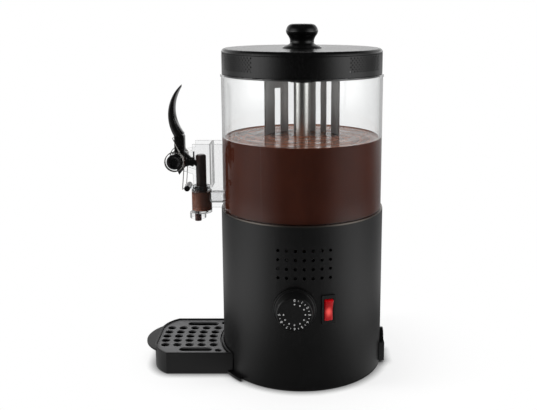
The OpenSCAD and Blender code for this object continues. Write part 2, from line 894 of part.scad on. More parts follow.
// Two clear cheeks that carry the lever's pin, with a wall between them
module tap_guard() {
    color([0.85, 0.9, 0.92, 0.35])
        difference() {
            union() {
                for (side = [-1, 1])
                    side_slab(cheek_t, side * (cheek_x + cheek_t / 2))
                    union() {
                        translate([-guard_y, guard_low]) square([guard_y - tank_in, guard_top - guard_low]);
                        translate([-pivot_y, pivot_z]) circle(r = ear_r);
                        polygon([[-guard_y, pivot_z + ear_web_up], [-pivot_y, pivot_z + ear_r],
                            [-pivot_y, pivot_z - ear_r], [-guard_y, pivot_z - ear_web_down]]);
                    }
                x_block(2 * cheek_x, -guard_wall_y, -guard_wall_y + cheek_t, cap_top, guard_top);
            }
            translate([0, 0, guard_low - eps]) cylinder(r = tank_r, h = guard_top);
            x_rod(axle_d / 2 + run_gap, 2 * (cheek_x + cheek_t + eps), -cheek_x - cheek_t - eps,
                -pivot_y, pivot_z);
        }
}

module tap_barrel() {
    color([0.8, 0.82, 0.83, 0.4])
        difference() {
            union() {
                translate([0, -barrel_y, barrel_z]) cylinder(r = barrel_r, h = barrel_h);
                difference() {
                    translate([0, -barrel_y + barrel_in + 1, feed_z]) rotate([-90, 0, 0])
                        cylinder(d = feed_d, h = barrel_y - tank_in);
                    cylinder(r = tank_r, h = 2 * z_tank);
                }
            }
            translate([0, -barrel_y, barrel_z + barrel_floor]) cylinder(r = barrel_in, h = barrel_h);
            translate([0, -barrel_y, feed_z]) rotate([-90, 0, 0]) cylinder(d = feed_bore_d, h = barrel_y);
            translate([0, -outlet_y, barrel_z - eps]) cylinder(d = nozzle_bore_d, h = barrel_floor + 2 * eps);
        }
}

module barrel_cap() {
    color("gray")
        difference() {
            union() {
                translate([0, -barrel_y, barrel_top]) cylinder(r = cap_r, h = cap_t);
                x_block(6, -anchor_y + anchor_r - 1, -barrel_y, barrel_top + 2, cap_top - 1);
            }
            translate([0, -barrel_y, barrel_top - eps])
                cylinder(r = plunger_r + run_gap, h = cap_t + 2 * eps);
            translate([0, -barrel_y, barrel_top + cap_t / 2]) rotate_extrude()
                translate([plunger_r, -o_ring_t / 2]) square([o_ring_t + 0.2, o_ring_t]);
            x_rod(anchor_r, 2 * anchor_half, -anchor_half, -anchor_y, anchor_z);
        }
}

module cap_o_ring() {
    color("black")
        translate([0, -barrel_y, barrel_top + cap_t / 2]) rotate_extrude()
        translate([plunger_r + run_gap + o_ring_t / 2, 0]) circle(d = o_ring_t);
}

module spring_anchor() {
    color("black") x_rod(anchor_r, 2 * anchor_half, -anchor_half, -anchor_y, anchor_z);
}

module spout_skirt() {
    color([0.85, 0.9, 0.92, 0.35])
        translate([0, -outlet_y, 0])
        ring(skirt_d / 2, skirt_d / 2 - 1.8, skirt_h, barrel_z - skirt_h);
}

module spout_nozzle() {
    color([0.12, 0.08, 0.08])
        translate([0, -outlet_y, 0])
        ring(nozzle_d / 2, nozzle_bore_d / 2, nozzle_h, barrel_z - nozzle_h);
}

// ---- the tap's spring: two coils joined behind the lever ----

function coil_point(x, a) = [x, -pivot_y + coil_r * cos(a), pivot_z + coil_r * sin(a)];

// Angle at which a line from point [y, z] touches the coil on its tank side
function touch_angle(y, z, side) =
    let (d = norm([y + pivot_y, z - pivot_z]))
    atan2(z - pivot_z, y + pivot_y) + side * acos(coil_r / d);

// Three points in place of a sharp bend at b
function bend(a, b, c, r) =
    let (p = b + r * unit(a - b), q = b + r * unit(c - b))
    [p, b / 2 + (p + q) / 4, q];

hook_end_y = anchor_y + anchor_r + wire_r + 0.3;
low_angle = touch_angle(-hook_end_y, anchor_z, 1);
high_angle = touch_angle(-hook_y, hook_z, -1) + 360 * coil_turns;
coil_steps = ceil((high_angle - low_angle) / 45);
coil_end_x = coil_x + coil_pitch * (high_angle - low_angle) / 360;
LOW_BEND = [coil_x, -hook_end_y, anchor_z];
HIGH_BEND = [hook_x, -hook_y, hook_z];
COIL = [
    for (i = [0 : coil_steps])
        coil_point(coil_x + (coil_end_x - coil_x) * i / coil_steps,
            low_angle + (high_angle - low_angle) * i / coil_steps)
];
HALF_SPRING = concat(
    [[coil_x - 9, -hook_end_y, anchor_z]],
    bend([0, -hook_end_y, anchor_z], LOW_BEND, COIL[0], 2.5),
    COIL,
    bend(COIL[coil_steps], HIGH_BEND, [0, -hook_y, hook_z], 2.5)
);
SPRING_PATH = concat(HALF_SPRING, [for (p = reversed(HALF_SPRING)) [-p.x, p.y, p.z]]);

function tangents(path) =
    [for (i = [0 : len(path) - 1]) unit(path[min(i + 1, len(path) - 1)] - path[max(i - 1, 0)])];

// Side directions carried along the path without twisting
function carried(t) = [
    for (i = 0, n = unit(cross(t[0], [0.3, 0.5, 0.8])); i < len(t);
        i = i + 1, n = i < len(t) ? unit(n - (n * t[i]) * t[i]) : n) n
];

// One closed tube of n sides along a path
module tube_along(path, r, n) {
    t = tangents(path);
    side = carried(t);
    last = len(path) - 1;
    points = [
        for (i = [0 : last], k = [0 : n - 1])
            path[i] + r * (cos(360 * k / n) * side[i] + sin(360 * k / n) * cross(t[i], side[i]))
    ];
    walls = [
        for (i = [0 : last - 1], k = [0 : n - 1])
            let (a = i * n + k, b = i * n + (k + 1) % n)
            each [[a, a + n, b], [b, a + n, b + n]]
    ];
    caps = [
        for (k = [1 : n - 2]) each [[0, k, k + 1], [last * n, last * n + k + 1, last * n + k]]
    ];
    polyhedron(points, concat(walls, caps));
}

self_gap = min([
    for (i = [0 : len(SPRING_PATH) - 8], j = [i + 7 : len(SPRING_PATH) - 1])
        norm(SPRING_PATH[i] - SPRING_PATH[j])
]) - wire_d;
echo(least_gap_between_spring_turns = self_gap);

module tap_spring() {
    color("silver") tube_along(SPRING_PATH, wire_r, 6);
}

// ---- lever and plunger ----

module lever_side() {
    polygon(concat(
        [[-shank_out, pivot_z + 4]],
        arc_through(BLADE_OUT[0], BLADE_OUT[1], BLADE_OUT[2], arc_steps),
        reversed(arc_through(BLADE_IN[0], BLADE_IN[1], BLADE_IN[2], arc_steps)),
        [[-shank_in, pivot_z + 4]]
    ));
    translate([-pivot_y, pivot_z]) circle(r = hub_r);
}

// The arm that reaches to the plunger, and the heel under the pivot
module lever_arm_side() {
    polygon([
        [-pivot_y + 6, pivot_z + 12], [-shank_in, pivot_z + 10.1], [-pivot_y + 19.2, pivot_z + 2.5],
        [-arm_end_y, pivot_z + 1.6], [-arm_end_y, nose_z], [-arm_end_y - 1.9, nose_z - nose_r - 0.9],
        [-pivot_y + 18, pivot_z - 8.6], [-pivot_y + 12.1, pivot_z - 10],
        [-pivot_y + 3, pivot_z - 21.7], [-pivot_y - 3, pivot_z - 7.5]
    ]);
}

module tap_lever() {
    color([0.05, 0.05, 0.05])
        difference() {
            union() {
                x_rod(hub_r, 2 * (cheek_x - part_gap), -cheek_x + part_gap, -pivot_y, pivot_z);
                intersection() {
                    side_slab(blade_w) lever_side();
                    translate([0, -pivot_y + lever_depth, 0])
                        rotate([90, 0, 0]) linear_extrude(2 * lever_depth)
                        union() {
                            translate([-shank_w / 2, pivot_z - 20]) square([shank_w, blade_top - pivot_z]);
                            polygon([[-shank_w / 2, shank_top - 4], [shank_w / 2, shank_top - 4],
                                [blade_w / 2, blade_round_z], [-blade_w / 2, blade_round_z]]);
                            translate([0, blade_round_z]) circle(d = blade_w);
                        }
                }
                side_slab(shank_w / 2) lever_arm_side();
                translate([-nose_w / 2, 0, 0]) rotate([90, 0, 90]) linear_extrude(nose_w)
                    union() {
                        translate([-nose_y, nose_z]) circle(r = nose_r);
                        translate([-pivot_y + 14, nose_z - neck_half])
                            square([pivot_y - 14 - nose_y, 2 * neck_half]);
                    }
            }
            x_rod(axle_d / 2, 4 * cheek_x, -2 * cheek_x, -pivot_y, pivot_z);
            translate([0, -link_pin_y, pivot_z - 1.2]) cylinder(r = link_pin_r, h = 20);
        }
}

module lever_axle() {
    color("silver") x_rod(axle_d / 2, 2 * axle_end, -axle_end, -pivot_y, pivot_z);
}

module axle_caps() {
    color("black")
        difference() {
            for (side = [-1, 1])
                x_rod(axle_cap_d / 2, axle_cap_l, side > 0 ? cap_x : -cap_x - axle_cap_l, -pivot_y, pivot_z);
            x_rod(axle_d / 2, 2 * axle_end, -axle_end, -pivot_y, pivot_z);
        }
}

module link_pin() {
    color("silver") translate([0, -link_pin_y, pivot_z - 1.2]) cylinder(r = link_pin_r, h = 11.5);
}

module plunger() {
    color([0.2, 0.1, 0.08])
        difference() {
            translate([0, -barrel_y, 0]) rotate_extrude()
                polygon([[0, plug_z + seal_disc_t], [plug_r, plug_z + seal_disc_t],
                    [plug_r, plug_z + seal_disc_t + plug_h], [plunger_r, plug_z + seal_disc_t + plug_h + 2],
                    [plunger_r, plunger_top - 1.5], [plunger_r - 1.5, plunger_top], [0, plunger_top]]);
            translate([-nose_w / 2 - nose_gap, -barrel_y - plunger_r - 1, nose_z - nose_r - nose_gap])
                cube([nose_w + 2 * nose_gap, plunger_r + 1, 2 * (nose_r + nose_gap)]);
        }
}

module plunger_seal() {
    color("whitesmoke") translate([0, -barrel_y, plug_z]) cylinder(r = plug_r, h = seal_disc_t);
}

// ---- lid ----

module lid_wall() {
    vents_z = z_lid_cap - lid_vent_top - (lid_vent_rows - 1) * lid_vent_rise;
    color([0.09, 0.09, 0.1])
        difference() {
            ring(lid_r, lid_in, lid_wall_h, z_lid);
            for (direction = [-52, 50, 128, 230])
                radial_holes(lid_vent_d / 2, lid_in - eps, lid_r + eps, lid_vent_columns, lid_vent_rows,
                    lid_vent_step, lid_vent_rise, vents_z, direction, true);
        }
}

module lid_cap() {
    edge = lid_r - lid_edge_r;
    color([0.09, 0.09, 0.1])
        difference() {
            rotate_extrude()
                polygon(concat(
                    [[0, z_lid_cap], [lid_r - lid_seam, z_lid_cap], [lid_r - lid_seam, z_lid_cap + lid_seam],
                        [lid_r, z_lid_cap + lid_seam]],
                    [for (a = [0 : 7.5 : 90])
                        [edge + lid_edge_r * cos(a), z_lid_top - lid_edge_r + lid_edge_r * sin(a)]],
                    [[0, z_lid_top]]
                ));
            translate([0, 0, z_lid_cap - eps])
                cylinder(r = lid_r - lid_shoulder, h = lid_cap_h - lid_cap_t + eps);
            translate([0, 0, z_lid_cap - eps]) cylinder(d = knob_screw_d, h = lid_cap_h + 2 * eps);
        }
}

module lid_seal() {
    inner = tank_in - part_gap - lid_seal_t;
    color("whitesmoke")
        rotate_extrude()
        polygon([[inner, z_lid - lid_seal_down], [tank_in - part_gap, z_lid - lid_seal_down],
            [tank_in - part_gap, z_lid], [lid_in, z_lid], [lid_in, z_lid + lid_seal_up],
            [inner, z_lid + lid_seal_up]]);
}

module lid_knob() {
    color([0.04, 0.04, 0.04])
        difference() {
            rotate_extrude()
                polygon(concat(
                    [[0, z_lid_top], [knob_foot_d / 2, z_lid_top], [knob_foot_d / 2 - 5, z_lid_top + 4],
                        [knob_waist_d / 2, z_lid_top + 5.2]],
                    arc_through([knob_waist_d / 2, z_lid_top + 8.5], [knob_d / 2, z_lid_top + knob_h * 0.68],
                        [knob_d / 2 - 6, z_lid_top + knob_h - 1.5], 10),
                    [[0, z_lid_top + knob_h]]
                ));
            translate([0, 0, z_lid_top - eps]) cylinder(d = knob_screw_d, h = knob_h / 2);
        }
}

module knob_screw() {
    color("silver") {
        translate([0, 0, z_lid_top - lid_cap_t - knob_screw_d / 2])
            cylinder(d = 2 * knob_screw_d, h = knob_screw_d / 2);
        translate([0, 0, z_lid_top - lid_cap_t])
            cylinder(d = knob_screw_d, h = lid_cap_t + knob_h / 2 - eps);
    }
}

// ---- stirrer ----

module stirrer_cage() {
    color("silver")
        difference() {
            rotate([0, 0, 90]) rotate_extrude(angle = 180)
                translate([cage_r - cage_t, cage_z]) square([cage_t, cage_h]);
            for (s = CAGE_SLOTS)
                rotate([0, 0, 90 + s[0] - s[1] / 2]) rotate_extrude(angle = s[1])
                translate([cage_r - cage_t - eps, slot_low])
                square([cage_t + 2 * eps, slot_high - slot_low - s[2]]);
        }
}

module stirrer_spider() {
    color("silver")
        for (a = spider_angles)
            rotate([0, 0, 90 + a])
            difference() {
                intersection() {
                    translate([0, -spider_w / 2, cage_top]) cube([cage_r, spider_w, spider_t]);
                    cylinder(r = cage_r, h = cage_top + 20);
                }
                translate([0, 0, cage_top - eps]) cylinder(d = hub_d, h = spider_t + 2 * eps);
            }
}

module stirrer_hub() {
    color([0.15, 0.15, 0.15])
        difference() {
            translate([0, 0, hub_low]) cylinder(d = hub_d, h = hub_top - hub_low);
            translate([0, 0, hub_low - eps]) cylinder(r = hub_bore_r, h = hub_ceiling - hub_low + eps);
            translate([0, 0, hub_ceiling - eps])
                cylinder(r = hex_r + hex_gap / cos(30), h = hex_top - hub_ceiling + eps, $fn = 6);
        }
}

module stirrer_scraper() {
    color("silver")
        difference() {
            union() {
                translate([0, 0, scraper_z]) cylinder(r = tube_r + 4, h = scraper_h);
                translate([-scraper_t / 2, -scraper_reach, scraper_z])
                    cube([scraper_t, 2 * scraper_reach, scraper_h]);
            }
            translate([0, 0, cage_z - scraper_h]) cylinder(r = hub_bore_r + part_gap, h = 2 * scraper_h);
            rotate([0, 0, 90 - 1]) rotate_extrude(angle = 182)
                translate([cage_r - cage_t, cage_z]) square([cage_t, cage_h]);
        }
}

// ---- drip tray ----

module tray_outline(inset, back) {
    half = tray_half_w - inset;
    arc = tray_arc - inset;
    difference() {
        intersection() {
            translate([-half, -tray_end + inset]) square([2 * half, tray_end]);
            union() {
                translate([-half, -tray_end + tray_arc]) square([2 * half, tray_end]);
                for (side = [-1, 1]) translate([side * tray_flat, -tray_end + tray_arc]) circle(r = arc);
                translate([-tray_flat, -tray_end + inset]) square([2 * tray_flat, tray_end]);
            }
        }
        circle(r = back);
        translate([-tray_half_w - 1, -casing_r * 0.7]) square([2 * tray_half_w + 2, tray_end]);
    }
}

module drip_tray() {
    color([0.1, 0.1, 0.11])
        difference() {
            union() {
                translate([0, 0, tray_lift]) linear_extrude(tray_top - tray_lift) tray_outline(0, tray_back);
                translate([0, 0, tray_top - tray_t - tab_down]) linear_extrude(tray_t)
                    intersection() {
                        translate([0, -tray_end - tab_out + tab_r]) circle(r = tab_r);
                        translate([-tab_half_w, -tray_end - tab_out]) square([2 * tab_half_w, tab_reach]);
                    }
            }
            translate([0, 0, tray_floor]) linear_extrude(ledge_z - tray_floor)
                tray_outline(tray_t + ledge_w, bracket_lip_r + tray_gap + tray_t);
            translate([0, 0, ledge_z]) linear_extrude(tray_top) tray_outline(tray_t, tray_back + tray_t);
            translate([0, 0, -eps])
                cylinder(r = bracket_lip_r + tray_gap, h = eps + tray_lift + bracket_lip_t + tray_gap);
        }
}

module drip_grille() {
    color("gray")
        translate([0, 0, grille_z])
        difference() {
            linear_extrude(grille_t) tray_outline(grille_inset, grille_back);
            for (row = [0 : drain_rows - 1], column = [-2 : 2])
                let (r = drain_from + row * drain_pitch, x = column * drain_step)
                translate([x, -sqrt(r * r - x * x), -eps]) cylinder(d = drain_d, h = grille_t + 2 * eps);
            for (side = [-1, 1]) {
                for (y = slot_y) translate([side * slot_x, -y, -eps])
                    cylinder(d = slot_w, h = grille_t + 2 * eps);
                translate([side * slot_x - slot_w / 2, -slot_y[0], -eps])
                    cube([slot_w, slot_y[0] - slot_y[1], grille_t + 2 * eps]);
                translate([side * (slot_x + corner_hole_side), -slot_y[1] + corner_hole_back, -eps])
                    cylinder(d = corner_hole_d, h = grille_t + 2 * eps);
            }
        }
}

foot_ring();
base_plate();
post_screws();
posts();
casing();
tray_bracket();
motor_bracket();
motor();
gearbox();
deck();
deck_bush();
trim_ring();
heater_plate();
heating_element();
thermal_cutout();
thermostat_bulb();
insulation();
thermostat();
dial_seat();
switch_housing();
inlet_housing();
inlet_pins();
terminal_block();
output_stub();
shaft_coupling();
drive_shaft();
thermostat_dial();
dial_spindle();
power_rocker();
tank_wall();
tank_floor();
tank_seal();
centre_tube();
tube_bush();
tap_guard();
tap_barrel();
barrel_cap();
cap_o_ring();
spring_anchor();
spout_skirt();
spout_nozzle();
tap_spring();
tap_lever();
lever_axle();
axle_caps();
link_pin();
plunger();
plunger_seal();
lid_wall();
lid_cap();
lid_seal();
lid_knob();
knob_screw();
stirrer_cage();
stirrer_spider();
stirrer_hub();
stirrer_scraper();
drip_tray();
drip_grille();
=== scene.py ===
"""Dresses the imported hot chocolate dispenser: its own surfaces, procedural finishes, light and camera.

Lengths are metres in the CAD frame: +Z up, the tap towards -Y, the dial and the switch towards +X.
Outlines and profiles are written in millimetres and multiplied by MM where they are used.
"""

from __future__ import annotations

import logging
import math
from dataclasses import dataclass
from enum import Enum

import bmesh
import bpy
import numpy as np
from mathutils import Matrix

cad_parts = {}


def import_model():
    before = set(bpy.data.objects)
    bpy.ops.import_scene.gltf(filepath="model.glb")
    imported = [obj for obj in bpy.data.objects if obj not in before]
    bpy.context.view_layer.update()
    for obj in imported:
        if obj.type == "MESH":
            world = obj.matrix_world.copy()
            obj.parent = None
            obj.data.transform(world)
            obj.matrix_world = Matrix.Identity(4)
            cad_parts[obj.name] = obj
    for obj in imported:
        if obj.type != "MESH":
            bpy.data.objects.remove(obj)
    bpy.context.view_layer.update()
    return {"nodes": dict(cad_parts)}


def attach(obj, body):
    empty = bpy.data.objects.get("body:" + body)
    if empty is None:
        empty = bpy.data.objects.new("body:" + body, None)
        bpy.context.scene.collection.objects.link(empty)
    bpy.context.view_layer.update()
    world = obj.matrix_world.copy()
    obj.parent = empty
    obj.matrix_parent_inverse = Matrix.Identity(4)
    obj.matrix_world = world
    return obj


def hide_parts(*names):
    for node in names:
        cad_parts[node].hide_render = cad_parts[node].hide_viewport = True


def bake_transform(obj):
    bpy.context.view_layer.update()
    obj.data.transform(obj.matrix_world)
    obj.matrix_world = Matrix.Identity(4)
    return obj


log = logging.getLogger("dispenser")
MM = 0.001
TURN = 2 * math.pi
SHARP = 38.0  # degrees between two faces from which their edge isn't smoothed
WHITE = (1.0, 1.0, 1.0, 1.0)
Pair = tuple[float, float]
Point = tuple[float, float, float]
Colour = tuple[float, float, float]
Outline = tuple[Pair, ...]


# ---- shader maths ----


class Value:
    """One socket of a node tree. Arithmetic on it adds Math nodes."""

    def __init__(self, graph: Graph, socket: bpy.types.NodeSocket) -> None:
        """Keeps the tree and the socket."""
        self.graph = graph
        self.socket = socket

    def math(self, operation: str, *others: Value | float) -> Value:
        """Adds a Math node.

        Args:
            operation: the node's operation, such as "ADD".
            others: the second and third operand.

        Returns:
            The node's result.
        """
        operands = dict(enumerate((self, *others)))
        return self.graph.make("ShaderNodeMath", {"operation": operation}, operands)

    def __add__(self, other: Value | float) -> Value:
        """Sum."""
        return self.math("ADD", other)

    def __mul__(self, other: Value | float) -> Value:
        """Product."""
        return self.math("MULTIPLY", other)

    __radd__ = __add__
    __rmul__ = __mul__

    def __sub__(self, other: Value | float) -> Value:
        """Difference."""
        return self.math("SUBTRACT", other)

    def __rsub__(self, other: float) -> Value:
        """A number minus this value."""
        return self * -1.0 + other

    def __truediv__(self, other: Value | float) -> Value:
        """Quotient."""
        return self.math("DIVIDE", other)

    def __pow__(self, other: float) -> Value:
        """Power."""
        return self.math("POWER", other)

    def step(self, low: float, high: float, first: float = 0.0, last: float = 1.0) -> Value:
        """Goes smoothly from one number to another while this value goes from low to high.

        Args:
            low: where the step starts.
            high: where it ends.
            first: the number up to its start.
            last: the number from its end on.

        Returns:
            The smooth step.
        """
        limits = {"Value": self, "From Min": low, "From Max": high, "To Min": first, "To Max": last}
        return self.graph.make("ShaderNodeMapRange", {"interpolation_type": "SMOOTHSTEP"}, limits)


class Graph:
    """The node tree of one material or of the world."""

    def __init__(self, tree: bpy.types.NodeTree) -> None:
        """Starts from an empty tree."""
        self.tree = tree
        tree.nodes.clear()

    def make(self, kind: str, settings: dict | None = None, inputs: dict | None = None,
             output: int | str = 0) -> Value:
        """Adds one node.

        Args:
            kind: the node's type.
            settings: the node's own properties, which are set first.
            inputs: a number, colour or Value for each socket, by name or index.
            output: which socket is returned.

        Returns:
            The chosen output.
        """
        node = self.tree.nodes.new(kind)
        for key, value in (settings or {}).items():
            setattr(node, key, value)
        for key, value in (inputs or {}).items():
            if isinstance(value, Value):
                self.tree.links.new(value.socket, node.inputs[key])
            else:
                node.inputs[key].default_value = value
        return Value(self, node.outputs[output])

    def place(self, scale: Point = (1.0, 1.0, 1.0), shift: Point = (0.0, 0.0, 0.0)) -> Value:
        """Object coordinates, moved and then stretched.

        Args:
            scale: what each coordinate is multiplied by.
            shift: what is added to them before that.

        Returns:
            The vector.
        """
        inside = {0: self.make("ShaderNodeTexCoord", output="Object"), 1: shift}
        moved = self.make("ShaderNodeVectorMath", {"operation": "ADD"}, inside)
        return self.make("ShaderNodeVectorMath", {"operation": "MULTIPLY"}, {0: moved, 1: scale})

    def axes(self, vector: Value | None = None) -> list[Value]:
        """The three parts of a vector, or of the object coordinates."""
        parts = self.make("ShaderNodeSeparateXYZ", inputs={0: vector or self.place()})
        return [Value(self, parts.socket.node.outputs[i]) for i in range(3)]

    def polar(self) -> tuple[Value, Value, Value]:
        """Radius and angle round the Z axis, and the height, of the object coordinates."""
        x, y, z = self.axes()
        return (x * x + y * y).math("SQRT"), y.math("ARCTAN2", x), z

    def vector(self, x: Value | float, y: Value | float, z: Value | float) -> Value:
        """A vector from three numbers."""
        return self.make("ShaderNodeCombineXYZ", inputs={0: x, 1: y, 2: z})

    def noise(self, where: Value, scale: float, detail: float = 2.0, distortion: float = 0.0) -> Value:
        """Soft noise from 0 to 1, about 0.5 in the middle."""
        inputs = {"Vector": where, "Scale": scale, "Detail": detail, "Distortion": distortion}
        return self.make("ShaderNodeTexNoise", None, inputs)

    def mix(self, factor: Value | float, first: Colour | Value, second: Colour | Value) -> Value:
        """A colour between two colours."""
        first, second = ((*c, 1.0) if isinstance(c, tuple) else c for c in (first, second))
        return self.make("ShaderNodeMix", {"data_type": "RGBA"}, {0: factor, 6: first, 7: second}, 2)

    def bump(self, height: Value, distance: float, strength: float = 1.0) -> Value:
        """A normal bent by a height from 0 to 1 that stands for the distance."""
        inputs = {"Height": height, "Distance": distance, "Strength": strength}
        return self.make("ShaderNodeBump", None, inputs)

    def blended(self, factor: Value, first: Value, second: Value) -> Value:
        """A shader between two shaders."""
        return self.make("ShaderNodeMixShader", None, {0: factor, 1: first, 2: second})

    def glow(self, strength: Value) -> Value:
        """White light of a strength."""
        return self.make("ShaderNodeEmission", None, {"Color": WHITE, "Strength": strength})

    def show(self, shader: Value, kind: str = "ShaderNodeOutputMaterial") -> None:
        """Puts a shader on the tree's output."""
        self.tree.links.new(shader.socket, self.tree.nodes.new(kind).inputs["Surface"])


def new_material(name: str) -> tuple[bpy.types.Material, Graph]:
    """A new material and its empty tree.

    Args:
        name: the material's name.

    Returns:
        The material and its graph.
    """
    made = bpy.data.materials.new(name)
    made.use_nodes = True
    return made, Graph(made.node_tree)


# ---- finishes ----


class Grain(Enum):
    """How a surface is textured."""

    COAT = "powder coat"
    MOULD = "moulded plastic"
    BRUSH_UP = "brushed along Z"
    BRUSH_ROUND = "turned about Z"
    BRUSH_ACROSS = "turned about X"
    CAST = "cast metal"
    RUBBER = "rubber"
    WOOL = "mineral wool"


# How many spots of the texture lie on a metre: broad cloudiness, fine grain, and tool marks
CLOUDS = 22.0
FINE = {Grain.COAT: 900.0, Grain.MOULD: 1500.0, Grain.CAST: 420.0, Grain.RUBBER: 1100.0}
TUFTS = 260.0
TURNED_LINES = 1400.0
ACROSS_LINES = 1600.0


@dataclass(frozen=True)
class Finish:
    """A solid surface: colour, gloss and the texture that varies them."""

    name: str
    colour: Colour
    grain: Grain
    roughness: float = 0.4
    metallic: float = 0.0
    specular: float = 0.5
    spread: float = 0.08
    relief: float = 0.02 * MM
    tone: float = 0.12
    coat: float = 0.0
    coat_roughness: float = 0.12

    def pattern(self, graph: Graph) -> tuple[Value, Value]:
        """The texture of the finish.

        Plastic has a slow flow in it, and metal and wool have the share that their lines or tufts take
        of the tone.

        Args:
            graph: the material's tree.

        Returns:
            Two values from 0 to 1: a broad tone and a fine height.
        """
        broad = graph.noise(graph.place(), CLOUDS, 3.0, 0.4)
        if self.grain is Grain.MOULD:
            flow = graph.noise(graph.place((9.0, 9.0, 2.5)), 6.0, 2.0, 1.2)
            return broad * 0.5 + flow * 0.5, graph.noise(graph.place(), FINE[self.grain])
        if self.grain in FINE:
            return broad, graph.noise(graph.place(), FINE[self.grain])
        radius, angle, z = graph.polar()
        if self.grain is Grain.WOOL:
            line, share = graph.noise(graph.place(), TUFTS, 6.0, 1.6), 0.6
        elif self.grain is Grain.BRUSH_ACROSS:
            line, share = graph.noise(graph.vector(graph.axes()[0] * ACROSS_LINES, 0.2, 0.7), 1.0, 4.0), 0.6
        elif self.grain is Grain.BRUSH_ROUND:
            rings = graph.vector(radius * TURNED_LINES, z * TURNED_LINES, 0.3)
            line, share = graph.noise(rings, 1.0, 4.0), 0.65
        else:
            upright = graph.vector(angle * 60.0, radius * 900.0, z * 9.0)
            line, share = graph.noise(upright, 4.0, 4.0), 0.65
        return broad * (1 - share) + line * share, line

    def material(self) -> bpy.types.Material:
        """Builds the material the first time.

        Returns:
            The material, the same one from then on.
        """
        name = f"finish_{self.name}"
        if name in bpy.data.materials:
            return bpy.data.materials[name]
        made, graph = new_material(name)
        tone, height = self.pattern(graph)
        dark, light = (tuple(min(1.0, c * (1 + k * self.tone)) for c in self.colour) for k in (-1, 1))
        sockets = {
            "Base Color": graph.mix(tone.step(0.3, 0.7), dark, light),
            "Roughness": (tone - 0.5) * self.spread + (height - 0.5) * self.spread + self.roughness,
            "Metallic": self.metallic,
            "Specular IOR Level": self.specular,
            "Coat Weight": self.coat,
            "Coat Roughness": self.coat_roughness,
            "Normal": graph.bump(height, self.relief),
        }
        graph.show(self.shader(graph, sockets))
        return made

    def shader(self, graph: Graph, sockets: dict) -> Value:
        """The surface shader from its sockets."""
        return graph.make("ShaderNodeBsdfPrincipled", None, sockets)

    def dress(self, *pieces: bpy.types.Object) -> None:
        """Puts the finish on every slot of the pieces.

        Args:
            pieces: CAD nodes or new pieces.
        """
        for piece in pieces:
            if not piece.data.materials:
                piece.data.materials.append(None)
            for slot in piece.material_slots:
                slot.link = "OBJECT"
                slot.material = self.material()


@dataclass(frozen=True)
class ClearFinish(Finish):
    """Clear plastic that bends what is behind it and lets the lamps through."""

    bending: float = 1.49
    streaks: float = 160.0
    streak_squash: float = 0.06

    def shader(self, graph: Graph, sockets: dict) -> Value:
        """Bending glass with faint upright streaks, which a ray from a lamp passes straight.

        Args:
            graph: the material's tree.
            sockets: the sockets of a solid surface.

        Returns:
            The shader.
        """
        streak = graph.noise(graph.place((1.0, 1.0, self.streak_squash)), self.streaks, 3.0)
        normal = graph.bump(streak, self.relief)
        surface = super().shader(graph, sockets | {
            "Transmission Weight": 1.0, "IOR": self.bending, "Normal": normal})
        passing = graph.make("ShaderNodeBsdfTransparent", None, {"Color": (*self.colour, 1.0)})
        return graph.blended(graph.make("ShaderNodeLightPath", output="Is Shadow Ray"), surface, passing)


@dataclass(frozen=True)
class DrinkFinish(Finish):
    """Hot chocolate: a glossy liquid whose top has lighter streaks painted on, a painted sheen in place of its
    reflection.
    """

    # The colour of the painted sheen, a painted reflection on the top of the liquid
    swirl: Colour = (0.36, 0.14, 0.08)
    arms: float = 1.6
    lag: float = 9.0
    rings: float = 55.0
    ripple: float = 0.3 * MM

    def shader(self, graph: Graph, sockets: dict) -> Value:
        """Painted sheen: lighter streaks that curl round the tube where the surface faces up, in place of the
        liquid's reflection.

        The noise is read at the radius, and at the angle plus a lag that grows with the radius.

        Args:
            graph: the material's tree.
            sockets: the sockets of a solid surface.

        Returns:
            The shader.
        """
        radius, angle, _ = graph.polar()
        curl = graph.vector(radius * self.rings, (angle + radius * self.lag) * self.arms, 0.0)
        streaks = graph.noise(curl, 2.2, 5.0, 0.8)
        up = graph.axes(graph.make("ShaderNodeNewGeometry", output="Normal"))[2].step(0.6, 0.95)
        # Painted sheen: the streaks are lightened only where the surface faces up, standing in for its
        # reflection
        sheen_mask = up * streaks.step(0.3, 0.75, 0.3, 1.0)
        return super().shader(graph, sockets | {
            "Base Color": graph.mix(sheen_mask, sockets["Base Color"], self.swirl),
            "Roughness": streaks * 0.1 + up * -0.08 + self.roughness,
            "Normal": graph.bump(streaks, self.ripple, 0.25)})


@dataclass(frozen=True)
class LampFinish(Finish):
    """Red plastic with a painted glow round a point in its middle, fading outwards: emission that stands in
    for the rocker's bright spot and highlights.
    """

    centre: Point = (0.0, 0.0, 0.0)
    core: float = 0.6 * MM
    reach: float = 5.5 * MM
    hot: Colour = (1.0, 0.16, 0.13)
    faded: Colour = (0.05, 0.0, 0.001)
    power: float = 0.55

    def shader(self, graph: Graph, sockets: dict) -> Value:
        """Adds a painted glow by the distance from its middle point, which counts less upwards.

        Args:
            graph: the material's tree.
            sockets: the sockets of a solid surface.

        Returns:
            The shader.
        """
        x, y, z = graph.axes(graph.place(shift=tuple(-c for c in self.centre)))
        away = (x * x + y * y + z * z * 0.4).math("SQRT")
        # Painted highlight: glow colour by distance, from bright red at the middle point to dark red outwards
        glow = graph.mix(away.step(self.core, self.reach), self.hot, self.faded)
        return super().shader(graph, sockets | {"Emission Color": glow, "Emission Strength": self.power})


